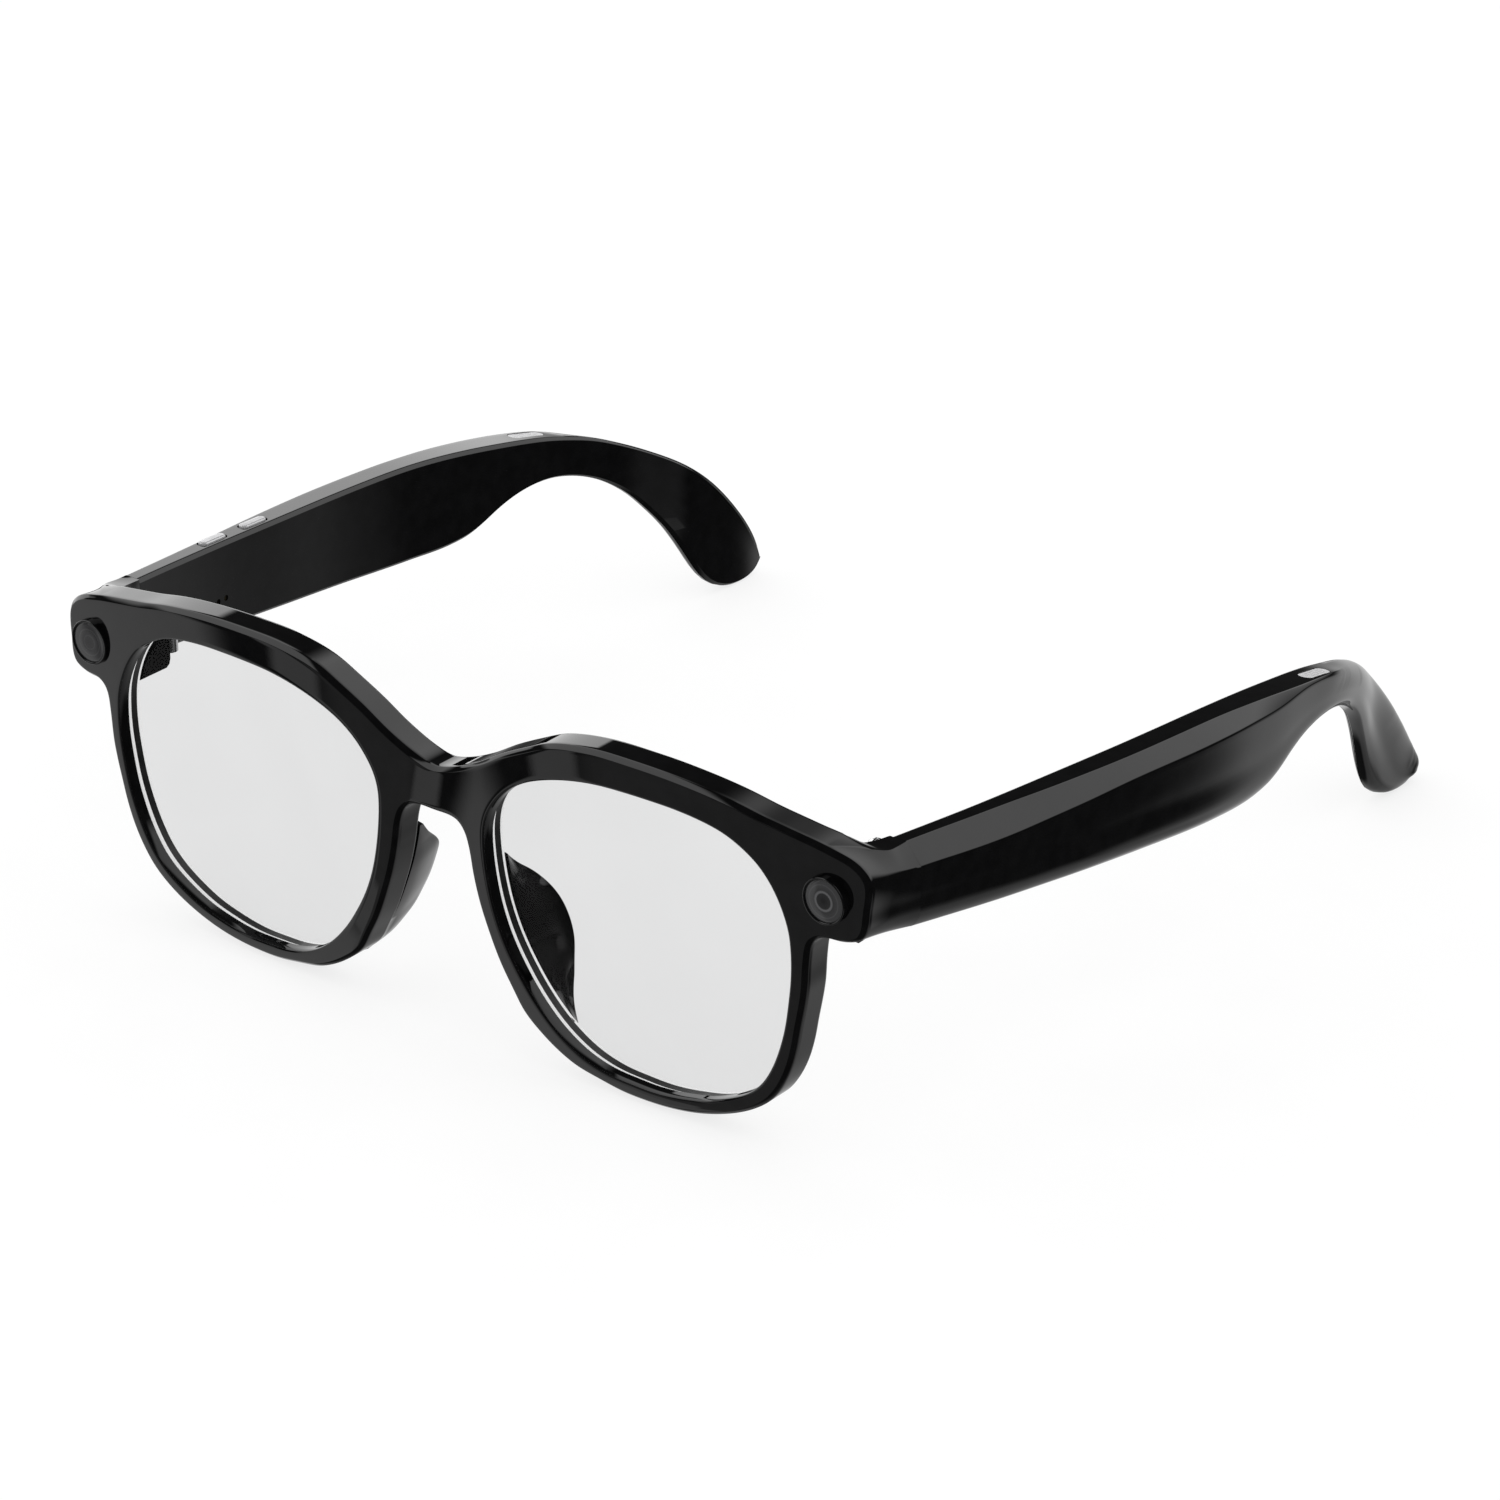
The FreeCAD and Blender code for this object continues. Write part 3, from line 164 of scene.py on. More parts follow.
# Nose pad: where it starts behind the front face, its thickness at the foot and at the rear edge.
PAD_START, PAD_FOOT, PAD_EDGE = 3.6, 2.5, 1.25
TEMPLE_START = 12.0
TAIL_START, TAIL_BLEND = 106, 16
TIP_STEPS = 16
BAY_START, BAY_END, BAY_WALL = 25.5, 111, 1.2
TIP_RADIUS, EDGE_RADIUS, TIP_LOSS = 3.5, 1.7, 0.58


# ------------------------------------------------------------------ curves
def cubic(values, slopes, index, part, span):
    """Cubic curve from each indexed value to the next one, at a part of the span between them."""
    return ((2 * part ** 3 - 3 * part ** 2 + 1) * values[index]
            + (part ** 3 - 2 * part ** 2 + part) * span * slopes[index]
            + (3 * part ** 2 - 2 * part ** 3) * values[index + 1]
            + (part ** 3 - part ** 2) * span * slopes[index + 1])


def smooth_curve(points, step, closed=False, blur=0.0):
    """Points spaced evenly along a smooth curve through measured points, with small bumps blurred out."""
    points = np.array(points, float)
    if closed:
        points = np.vstack([points, points[:1]])
    spans = np.linalg.norm(np.diff(points, axis=0), axis=1)
    places = np.concatenate([[0], np.cumsum(spans)])
    slopes = np.gradient(points, places, axis=0)
    if closed:
        slopes[0] = slopes[-1] = (points[1] - points[-2]) / (spans[0] + spans[-1])
    count = max(int(round(places[-1] / step)), 8)
    at = np.linspace(0, places[-1], count + 1)
    index = np.clip(np.searchsorted(places, at, side="right") - 1, 0, len(spans) - 1)
    part = ((at - places[index]) / spans[index])[:, None]
    curve = cubic(points, slopes, index, part, spans[index][:, None])
    if closed:
        curve = curve[:-1]
    if blur:
        curve = blurred(curve, blur / step, closed)
    return curve


def blurred(curve, spread, closed):
    """Gaussian average along a curve; an open curve keeps its ends."""
    reach = int(math.ceil(3 * spread))
    weights = np.exp(-0.5 * (np.arange(-reach, reach + 1) / spread) ** 2)
    weights /= weights.sum()
    if closed:
        padded = np.vstack([curve[-reach:], curve, curve[:reach]])
    else:
        padded = np.vstack([2 * curve[0] - curve[reach:0:-1], curve, 2 * curve[-1] - curve[-2:-reach - 2:-1]])
    return np.stack([np.convolve(padded[:, axis], weights, mode="valid") for axis in range(curve.shape[1])],
                    axis=1)


def outward_normals(loop):
    """Unit normals to the left of a closed loop's direction of travel."""
    along = np.roll(loop, -1, axis=0) - np.roll(loop, 1, axis=0)
    along /= np.linalg.norm(along, axis=1)[:, None]
    return np.stack([-along[:, 1], along[:, 0]], axis=1)


def knots_at(knots, at):
    """Value of a smooth curve through (place, value) knots."""
    places = np.array([knot[0] for knot in knots], float)
    values = np.array([knot[1:] for knot in knots], float)
    slopes = np.gradient(values, places, axis=0)
    at = np.clip(np.atleast_1d(np.asarray(at, float)), places[0], places[-1])
    index = np.clip(np.searchsorted(places, at, side="right") - 1, 0, len(places) - 2)
    span = (places[index + 1] - places[index])[:, None]
    return cubic(values, slopes, index, ((at - places[index])[:, None]) / span, span)


def ease(value):
    value = np.clip(value, 0, 1)
    return value * value * (3 - 2 * value)


# Front face: wrap of the rims in plan, half width of the saddle at the bridge, bow from top to bottom.
WRAP_RADIUS, WRAP_CENTRE, WRAP_DEPTH = 250, 26, -2.23
SADDLE_HALF = 8
BOW_RADIUS, BOW_CENTRE = 200, -8.45


def face_y(x, z):
    """Depth of the front face: two rims that wrap back, a saddle at the bridge, bowed top to bottom."""
    side = np.abs(x)
    beside = np.maximum(side, SADDLE_HALF) - WRAP_CENTRE
    rims = WRAP_DEPTH + WRAP_RADIUS - np.sqrt(WRAP_RADIUS ** 2 - beside ** 2)
    slope = (WRAP_CENTRE - SADDLE_HALF) / WRAP_RADIUS
    saddle = slope * (SADDLE_HALF ** 2 - np.minimum(side, SADDLE_HALF) ** 2) / (2 * SADDLE_HALF)
    plan = rims + saddle
    return BOW_RADIUS - np.sqrt((BOW_RADIUS - plan) ** 2 - (z - BOW_CENTRE) ** 2)


def on_face(outline, depth):
    """Front-view points (x, z) carried to a depth behind the front face."""
    outline = np.asarray(outline, float)
    return np.stack([outline[:, 0], face_y(outline[:, 0], outline[:, 1]) + depth, outline[:, 1]], axis=1)


# ------------------------------------------------------------------ meshes
WELD = 0.003
SIDES = {1: "left", -1: "right"}


class Build:
    """Collects patches in design millimetres and turns them into one welded object."""

    def __init__(self):
        self.points = []
        self.faces = []

    def add(self, points, faces):
        start = len(self.points)
        self.points.extend(np.asarray(points, float).tolist())
        self.faces.extend([[start + corner for corner in face] for face in faces])

    def rows(self, rows, wrap=False):
        """Quads between rows of points; wrap joins the last column to the first."""
        rows = np.asarray(rows, float)
        count, width = rows.shape[:2]
        faces = []
        for row in range(count - 1):
            for column in range(width if wrap else width - 1):
                following = (column + 1) % width
                faces.append([row * width + column, row * width + following,
                              (row + 1) * width + following, (row + 1) * width + column])
        self.add(rows.reshape(-1, 3), faces)

    def mirror(self):
        """Add the mirror image in the plane x = 0."""
        points = np.array(self.points) * (-1, 1, 1)
        self.add(points, [face[::-1] for face in self.faces])

    def bar(self, rows):
        """Closed solid through matching rings of points."""
        rows = np.asarray(rows, float)
        self.rows(rows, wrap=True)
        ring = list(range(rows.shape[1]))
        self.add(rows[0], [ring[::-1]])
        self.add(rows[-1], [ring])

    def finish(self, name, side=1, sharp=32):
        """Welded object in the frame; side -1 turns it into its mirror image."""
        mesh = bpy.data.meshes.new(name)
        places = np.array(self.points) * (side, 1, 1) * MM + ORIGIN
        faces = self.faces if side > 0 else [face[::-1] for face in self.faces]
        mesh.from_pydata(places.tolist(), [], faces)
        work = bmesh.new()
        work.from_mesh(mesh)
        bmesh.ops.remove_doubles(work, verts=work.verts, dist=WELD * MM)
        bmesh.ops.dissolve_degenerate(work, edges=work.edges, dist=WELD * MM * 0.2)
        bmesh.ops.recalc_face_normals(work, faces=work.faces)
        work.to_mesh(mesh)
        work.free()
        body = bpy.data.objects.new(name, mesh)
        bpy.context.scene.collection.objects.link(body)
        shade(body, sharp)
        return body


def shade(body, sharp):
    body.data.shade_smooth()
    body.data.set_sharp_from_angle(angle=math.radians(sharp))


def inside(polygon, points):
    """True for each point that lies inside a polygon."""
    polygon = np.asarray(polygon)
    following = np.roll(polygon, -1, axis=0)
    result = np.zeros(len(points), bool)
    for (x1, z1), (x2, z2) in zip(polygon, following):
        crosses = (z1 > points[:, 1]) != (z2 > points[:, 1])
        if z1 != z2:
            result ^= crosses & (points[:, 0] < (x2 - x1) * (points[:, 1] - z1) / (z2 - z1) + x1)
    return result


def sheet(outer, holes, depth, spacing=1.1):
    """Triangles of a curved sheet between closed outlines in front view."""
    loops = [np.asarray(outer)] + [np.asarray(hole) for hole in holes]
    low, high = loops[0].min(0), loops[0].max(0)
    grid = np.stack(np.meshgrid(np.arange(low[0], high[0], spacing), np.arange(low[1], high[1], spacing)),
                    axis=-1).reshape(-1, 2)
    keep = inside(loops[0], grid)
    for hole in loops[1:]:
        keep &= ~inside(hole, grid)
    grid = grid[keep]
    border = np.vstack(loops)
    gap = np.min(np.linalg.norm(grid[:, None] - border[None], axis=2), axis=1)
    grid = grid[gap > spacing * 0.55]
    edges = []
    start = 0
    for loop in loops:
        edges += [(start + number, start + (number + 1) % len(loop)) for number in range(len(loop))]
        start += len(loop)
    places = [Vector(point) for point in np.vstack([border, grid])]
    flat, _, triangles = geometry.delaunay_2d_cdt(places, edges, [], 0, 1e-7)[:3]
    flat = np.array([(point.x, point.y) for point in flat])
    middles = np.array([flat[list(triangle)].mean(0) for triangle in triangles])
    keep = inside(loops[0], middles)
    for hole in loops[1:]:
        keep &= ~inside(hole, middles)
    return on_face(flat, depth), [list(triangle) for triangle, kept in zip(triangles, keep) if kept]


def combine(target, tool, operation):
    """Apply a boolean with a throwaway tool."""
    change = target.modifiers.new(operation.lower(), "BOOLEAN")
    change.operation = operation
    change.solver = "EXACT"
    change.object = tool
    bpy.context.view_layer.update()
    graph = bpy.context.evaluated_depsgraph_get()
    result = bpy.data.meshes.new_from_object(target.evaluated_get(graph))
    result.validate()
    target.modifiers.clear()
    old = target.data
    target.data = result
    result.name = old.name
    bpy.data.meshes.remove(old)
    bpy.data.objects.remove(tool)


def block(build, low, high, bevel=0.0):
    """Box with optional bevelled long edges along Y."""
    (x1, y1, z1), (x2, y2, z2) = low, high
    ring = [(x1, z1), (x2, z1), (x2, z2), (x1, z2)]
    if bevel:
        ring = [(x1 + bevel, z1), (x2 - bevel, z1), (x2, z1 + bevel), (x2, z2 - bevel),
                (x2 - bevel, z2), (x1 + bevel, z2), (x1, z2 - bevel), (x1, z1 + bevel)]
    build.bar([[(x, y, z) for x, z in ring] for y in (y1, y2)])


# ------------------------------------------------------------------ front frame
def half_outline():
    """Samples of the left half of the outline with their outward normals."""
    half = np.array(FRONT_OUTLINE, float)
    other = half[1:-1][::-1] * (-1, 1)
    loop = smooth_curve(np.vstack([half, other]), 0.4, closed=True, blur=0.7)
    normals = outward_normals(loop)
    top = np.argmin(np.abs(loop[:, 0]) + (loop[:, 1] < -3) * 100)
    loop = np.roll(loop, -top, axis=0)
    normals = np.roll(normals, -top, axis=0)
    last = np.argmin(np.abs(loop[:, 0]) + (loop[:, 1] > -3) * 100)
    loop, normals = loop[:last + 1].copy(), normals[:last + 1].copy()
    loop[0, 0] = loop[-1, 0] = 0
    normals[0] = (0, 1)
    normals[-1] = (0, -1)
    return loop, normals


def aperture_loop():
    loop = smooth_curve(APERTURE, 0.45, closed=True, blur=0.8)
    return loop, -outward_normals(loop)


def nearest(points, place):
    return int(np.argmin(np.linalg.norm(points - np.array(place), axis=1)))


def spread(share):
    """Sideways growth that gathers pace towards the temple, and a fall that eases off."""
    return np.array([share ** 2.2, share + 0.35 * share * (1 - share)])


class EndPiece:
    """Carries the columns of an end piece from the rim's outline back to the temple's section."""

    def __init__(self, loop):
        self.loop = loop
        self.first = nearest(loop, ENDPIECE_TOP)
        self.corner = nearest(loop, ENDPIECE_CORNER)
        foot = nearest(loop, ENDPIECE_FOOT)
        self.rear = rear_section(foot - self.corner + 1)
        # outline numbers of all columns, with a fan of extra ones where the flat top opens
        numbers = list(range(len(loop)))
        self.source = np.array(numbers[:self.first + 1] + [self.first] * FAN + numbers[self.first + 1:])
        self.columns = slice(self.first, foot + FAN + 1)
        self.start = None

    def outline_at(self, number):
        numbers = np.arange(len(self.loop))
        return np.array([np.interp(number, numbers, self.loop[:, axis]) for axis in (0, 1)])

    def shoulder_point(self, crease, cut, share, part):
        """Point between the upper crease and the corner, straightening towards the rear."""
        corner = self.loop[self.corner]
        low = corner + (self.rear[0] - corner) * spread(share)
        own = self.outline_at(cut + (self.corner - cut) * part)
        chord = self.outline_at(cut) * (1 - part) + corner * part
        return crease * (1 - part) + low * part + (own - chord) * (1 - ease(share))

    def place(self, ys):
        """Points at the given depths, one per column: flat top, shoulder, then side and bottom."""
        share = np.clip((ys - self.start) / (ENDPIECE_BACK - self.start), 0, 1)
        inner = knots_at(INNER_EDGE, np.maximum(ys, INNER_EDGE[0][0]))
        inner[ys < INNER_EDGE[0][0]] = self.loop[self.first]
        crease = knots_at(UPPER_CREASE, ys)
        crease[:, 0] = np.maximum(crease[:, 0], self.loop[self.first, 0])
        shoulder = np.arange(self.first, self.corner + 1)
        cut = np.interp(crease[:, 0], self.loop[shoulder, 0], shoulder)
        width = self.corner - self.first
        points = []
        for column, y in enumerate(ys):
            beyond = column - FAN - width
            if column <= FAN:
                x, z = inner[column] * (1 - column / FAN) + crease[column] * column / FAN
            elif beyond <= 0:
                x, z = self.shoulder_point(crease[column], cut[column], share[column], (column - FAN) / width)
            else:
                own = self.loop[self.corner + beyond]
                x, z = own + (self.rear[beyond] - own) * spread(share[column])
            points.append((x, y, z))
        return np.array(points)

    def wall(self, outline, out):
        """Rows of the side wall behind the front bevel, and of the bevel at its rear."""
        ramp = np.zeros(len(outline))
        ramp[self.columns] = 1
        for step in range(1, RAMP_STEPS):
            ramp[self.columns.start - step] = 1 - step / RAMP_STEPS
            ramp[self.columns.stop - 1 + step] = 1 - step / RAMP_STEPS
        rows = []
        for inset, depth in [(0, depth) for depth in WALL_DEPTHS] + REAR_EDGE:
            row = on_face(outline - out * (inset * (1 - ramp))[:, None], depth)
            row[self.columns] = self.place(self.start + (depth - WALL_START))
            rows.append(row)
        return rows

    def tube(self, ring):
        """Outer and inner rows of the end piece from the rear of the rim to its end."""
        outer = [ring]
        for share in np.linspace(0, 1, TUBE_STEPS)[1:]:
            outer.append(self.place(ring[:, 1] + (ENDPIECE_BACK - ring[:, 1]) * share))
        parts = np.linspace(0, 1, INNER_COLUMNS)[:, None]
        inner = [row[-1] * (1 - parts) + row[0] * parts for row in outer]
        inner[0] = on_face(inner[0][:, (0, 2)], RIM_DEPTH)
        inner[0][0] = ring[-1]
        inner[0][-1] = ring[0]
        return outer, inner


def rim_sheet(edge, hole, depth):
    """Sheet between half of the outline, closed along the middle plane, and the lens opening."""
    centre = np.linspace(edge[-1], edge[0], CENTRE_POINTS)[1:-1]
    return sheet(np.vstack([edge, centre]), [hole], depth)


def front_details(body, loop, normals):
    """Hinge blocks, nose pads and cable channel."""
    added = Build()
    hinge_block(added)
    nose_pad(added, loop, normals)
    added.mirror()
    combine(body, added.finish("front_additions"), "UNION")
    removed = Build()
    block(removed, *LEAF_RECESS)
    block(removed, *MICROPHONE_SLOT, bevel=0.1)
    removed.mirror()
    cable_channel(removed)
    combine(body, removed.finish("front_cuts"), "DIFFERENCE")
    shade(body, 32)


def build_front():
    loop, normals = half_outline()
    hole, hole_normals = aperture_loop()
    end = EndPiece(loop)
    outline, out = loop[end.source], normals[end.source]
    bevel = [on_face(outline - out * inset, depth) for inset, depth in OUTER_BEVEL]
    end.start = bevel[-1][end.columns, 1]
    wall = end.wall(outline, out)
    tube, inner = end.tube(wall[-1][end.columns])

    build = Build()
    build.rows(bevel + wall)
    build.rows(tube)
    build.rows(inner)
    cap = np.vstack([tube[-1], inner[-1][1:-1]])
    build.add(cap, [list(range(len(cap)))])
    single = np.concatenate([[True], np.diff(end.source) != 0])
    build.add(*rim_sheet(bevel[0][single][:, (0, 2)], hole + hole_normals * APERTURE_PROFILE[0][0], 0))
    rear = np.vstack([wall[-1][:end.columns.start + 1], inner[0][::-1][1:-1],
                      wall[-1][end.columns.stop - 1:]])
    build.add(*rim_sheet(rear[:, (0, 2)], hole + hole_normals * APERTURE_PROFILE[-1][0], RIM_DEPTH))
    build.rows([on_face(hole + hole_normals * inset, depth) for inset, depth in APERTURE_PROFILE], wrap=True)
    build.mirror()
    body = build.finish("front_frame_shell")
    front_details(body, loop, normals)
    return body


def hinge_block(build):
    """Block behind the rim's corner that carries the hinge leaf, its lower rear corner rounded."""
    ring = [(4.2, 2.9), (11.3, 2.9), (11.75, 2.7), (11.95, 2.3), (11.95, -5.6), (11.7, -6.4), (11.1, -6.8),
            (4.2, -6.8)]
    build.bar([[(x, y, z) for y, z in ring] for x in (60.2, 66.5)])


def cable_channel(build):
    """Groove behind the brow for the cable and its cover."""
    half = [(0, -2.8), (6, -1.2), (12, 2.4), (20, 6.4), (32, 8.6), (44, 7.9), (54, 5.3), (60, 2.6)]
    curve = smooth_curve([(-x, z) for x, z in half[:0:-1]] + half, 0.8)
    along = np.gradient(curve, axis=0)
    along /= np.linalg.norm(along, axis=1)[:, None]
    across = np.stack([-along[:, 1], along[:, 0]], axis=1) * CHANNEL_WIDTH / 2
    corners = [on_face(curve + across * side, depth) for side,
               depth in ((1, 3.1), (1, 6), (-1, 6), (-1, 3.1))]
    build.bar(np.stack(corners, axis=1))


def nose_pad(build, loop, normals):
    """Fin that continues the nasal wall of the rim backwards, rounded at its rear edge."""
    rows = []
    for x, y, z in smooth_curve(NOSE_PAD_EDGE, 0.5, blur=1.0):
        tip = np.array([x, z])
        base = nearest(loop, tip)
        away = -normals[base]
        foot = loop[base] + away * 0.03
        rise = max(y - PAD_START, 0.4)
        skin, lens = [], []
        for share in (0, 0.2, 0.4, 0.6, 0.8, 0.93):
            point = foot + (tip - foot) * share ** 1.6
            inner = point + away * (PAD_FOOT + (PAD_EDGE - PAD_FOOT) * ease(share))
            skin.append((point[0], PAD_START + rise * share, point[1]))
            lens.append((inner[0], PAD_START + rise * share, inner[1]))
        for side, inset, reach in ((skin, 0.06, 0.98), (skin, 0.3, 1.0), (lens, PAD_EDGE - 0.06, 0.97),
                                   (lens, PAD_EDGE - 0.35, 1.0)):
            side.append((x + away[0] * inset, PAD_START + rise * reach, z + away[1] * inset))
        rows.append(skin + lens[::-1])
    build.bar(rows)


def rear_section(count):
    """Side and bottom of the end piece where it meets the temple: (x, z)."""
    top, low, flat, full, drop, height = station_values(place_of_top(TEMPLE_START))
    places = [(full, drop)]
    places += [(width, down) for width, down in shell_profile(flat, full, drop, height) if down > drop + 0.4]
    places.append((0, height))
    points = np.array([temple_place(top, low, width, down) for width, down in places])[:, (0, 2)]
    spans = np.concatenate([[0], np.cumsum(np.linalg.norm(np.diff(points, axis=0), axis=1))])
    at = np.linspace(0, spans[-1], count)
    return np.stack([np.interp(at, spans, points[:, axis]) for axis in (0, 1)], axis=1)


# ------------------------------------------------------------------ temples
TOP_CURVE = smooth_curve(TOP_EDGE, 0.25, blur=1.2)
LOW_CURVE = smooth_curve(LOWER_EDGE, 0.25, blur=1.0)
INNER_LINE = smooth_curve(INNER_FACE, 0.5, blur=2.0)
FLAT_LINE = smooth_curve(FLAT_WIDTH, 0.5, blur=2.0)
FULL_LINE = smooth_curve(FULL_WIDTH, 0.5, blur=2.0)
DROP_LINE = smooth_curve(SHOULDER_DROP, 0.5, blur=2.0)


def level(line, at):
    """Value of a measured line, such as a width, at a distance back."""
    return np.interp(at, line[:, 0], line[:, 1])


def pair_places():
    """Indexes on the two edge curves that share a cross-section."""
    tops = [nearest(TOP_CURVE, top) for top, _ in EDGE_PAIRS]
    lows = [nearest(LOW_CURVE, low) for _, low in EDGE_PAIRS]
    return tops, lows


TOP_PLACES, LOW_PLACES = pair_places()


def edges_at(place):
    """Top and lower edge points (y, z) at a place counted in steps of the top curve."""
    low_place = knots_at(list(zip(TOP_PLACES, LOW_PLACES)), place)[0, 0]
    steps = np.arange(len(TOP_CURVE))
    low_steps = np.arange(len(LOW_CURVE))
    top = np.array([np.interp(place, steps, TOP_CURVE[:, axis]) for axis in (0, 1)])
    low = np.array([np.interp(low_place, low_steps, LOW_CURVE[:, axis]) for axis in (0, 1)])
    return top, low


def temple_place(top, low, width, down):
    """Point at a width out from the inner face and a distance down from the top edge."""
    height = max(np.linalg.norm(low - top), 1e-6)
    y, z = top + (low - top) * (down / height)
    x = level(INNER_LINE, y) + width
    return (x, y, z)


def arc(corner, before, after, radius, count):
    """Rounded corner between two directions."""
    corner, before, after = [np.array(point, float) for point in (corner, before, after)]
    one = before - corner
    two = after - corner
    one = corner + one / max(np.linalg.norm(one), 1e-9) * min(radius, np.linalg.norm(one) * 0.45)
    two = corner + two / max(np.linalg.norm(two), 1e-9) * min(radius, np.linalg.norm(two) * 0.45)
    shares = np.linspace(0, 1, count)[:, None]
    return (one * (1 - shares) ** 2 + corner * 2 * shares * (1 - shares) + two * shares ** 2).tolist()


def shell_profile(flat, full, drop, height, softness=0.0):
    """Outer profile of the shell as (width, down): seam, flat top, shoulder, side, rounded bottom, seam.
    Softness rounds the creases off, from 0 along the straight part to 1 at the tail."""
    lip = min(0.6, full * 0.25)
    edge = lip + 0.06
    seam = min(0.5, height * 0.2)
    nick = 0.05 * min(1, height)
    belly = min(1.7, height * 0.33)
    sole = full * 0.42
    drop = min(drop, height * 0.4)
    flat = min(max(flat, lip + 0.15), full - 0.1)
    waist = (full, height * 0.45 + drop * 0.55)
    rounded = arc((flat, 0), (edge, 0), (full, drop), 0.12 + 1.2 * softness, 6)
    points = [(lip, seam), (lip, nick)]
    points += [(edge + (rounded[0][0] - edge) * share, 0) for share in np.linspace(0, 1, 6)[:-1]]
    points += rounded
    points += arc((full, drop), (flat, 0), waist, 0.3 + 2.2 * softness, 8)
    side = smooth_curve([points[-1], waist, (full * 0.93, height - belly),
                         (full * 0.70, height - belly * 0.18), (sole, height)], 0.5)
    at = np.linspace(0, len(side) - 1, 22)
    side = np.stack([np.interp(at, np.arange(len(side)), side[:, axis]) for axis in (0, 1)], axis=1)
    points += side[1:].tolist()
    points += [(sole + (edge - sole) * share, height) for share in (0.4, 0.8, 1.0)]
    points += [(lip, height - nick), (lip, height - seam)]
    return rounded_upper_half(np.array(points), full, height, softness)


def rounded_upper_half(points, full, height, softness):
    """Blend the part of a section above its waist towards a quarter ellipse."""
    waist = height * 0.5
    last = int(np.argmax(points[:, 1] > waist)) - 1
    spans = np.concatenate([[0], np.cumsum(np.linalg.norm(np.diff(points[:last + 1], axis=0), axis=1))])
    turn = spans / spans[-1] * math.pi / 2
    lip = points[0, 0] * 0.5
    round_part = np.stack([lip + (points[last, 0] - lip) * np.sin(turn),
                           points[last, 1] * (1 - np.cos(turn))], axis=1)
    points[:last + 1] += (round_part - points[:last + 1]) * softness
    return points


def cover_profile(height, full):
    """Closed profile of the inner cover, bevelled along its top and bottom."""
    scale = min(1.0, height / 2.0)
    lip = min(0.6, full * 0.25) - 0.09
    edge, slope = 0.06 * scale, 0.5 * scale
    count = 7
    points = [(lip, slope * 0.8), (lip, edge + 0.04), (lip - 0.05, edge), (0.05, slope), (0, slope + 0.08)]
    points += [(0, slope + 0.08 + (height - 2 * slope - 0.16) * share)
               for share in np.linspace(0, 1, count)[1:-1]]
    points += [(0, height - slope - 0.08), (0.05, height - slope), (lip - 0.05, height - edge),
               (lip, height - edge - 0.04), (lip, height - slope * 0.8)]
    return points


def station_values(place):
    """Edges of the temple's section at a place, its flat, full width and shoulder drop, and its height."""
    top, low = edges_at(place)
    widths = [level(line, top[0]) for line in (FLAT_LINE, FULL_LINE, DROP_LINE)]
    return top, low, *widths, np.linalg.norm(low - top)


def place_of_top(y):
    return float(np.interp(y, TOP_CURVE[:, 0], np.arange(len(TOP_CURVE))))


def temple_places():
    """Places of the cross-sections along the top curve, closer together round the tip."""
    last = len(TOP_CURVE) - 1
    middle = np.linspace(place_of_top(TEMPLE_START), last - TIP_STEPS, 190)
    tip = last - TIP_STEPS * (1 - np.sin(np.linspace(0, math.pi / 2, 26)[1:]))
    return np.concatenate([middle, tip])


def tip_scale(height):
    """Share of the thickness left where a section of this height crosses the rounded tip."""
    reach = TIP_RADIUS - math.sqrt(max(TIP_RADIUS ** 2 - height ** 2 / 4, 0))
    depth = min(reach / EDGE_RADIUS, 1)
    return 1 - TIP_LOSS * (1 - math.sqrt(1 - (1 - depth) ** 2))


def temple_rows(kind):
    """Cross-sections of the outer shell or of the inner cover."""
    rows = []
    for place in temple_places():
        top, low, flat, full, drop, height = station_values(place)
        height = max(height, 0.02)
        softness = float(ease((top[0] - TAIL_START) / TAIL_BLEND))
        if kind == "shell":
            profile = shell_profile(flat, full, drop, height, softness)
        else:
            profile = cover_profile(height, full)
        scale = tip_scale(height)
        rows.append([temple_place(top, low, width * scale, down) for width, down in profile])
    return rows


def bay_rows():
    """Hollow for the electronics, from the hinge to the bend."""
    rows = []
    for y in np.linspace(BAY_START, BAY_END, 30):
        top, low, flat, full, drop, height = station_values(place_of_top(y))
        outer = full - BAY_WALL
        flat = min(flat - 0.3, outer - 0.4)
        profile = [(-1, BAY_WALL), (flat, BAY_WALL), (outer, drop + 1.0), (outer, height - 2.6),
                   (outer - 1.3, height - 1.3), (-1, height - 1.3)]
        rows.append([temple_place(top, low, width, down) for width, down in profile])
    return rows


def top_frame(y, inset):
    """Point on the left temple's flat top with the directions along it and up from it."""
    ahead, behind = edges_at(place_of_top(y - 1))[0], edges_at(place_of_top(y + 1))[0]
    top = edges_at(place_of_top(y))[0]
    along = np.array([0, behind[0] - ahead[0], behind[1] - ahead[1]])
    along /= np.linalg.norm(along)
    up = np.array([0, -along[2], along[1]])
    x = level(INNER_LINE, y) + inset
    slope = level(INNER_LINE, y + 1) - level(INNER_LINE, y - 1)
    along = along + np.array([slope / 2, 0, 0])
    along /= np.linalg.norm(along)
    across = np.cross(along, up)
    return np.array([x, top[0], top[1]]), along, up, across


def pill_ring(length, width, count=40):
    """Pill outline as (along, across)."""
    reach = (length - width) / 2
    angles = np.linspace(0, 2 * math.pi, count, endpoint=False)
    return np.array([(math.copysign(reach, math.sin(angle)) + math.sin(angle) * width / 2,
                      math.cos(angle) * width / 2) for angle in angles])


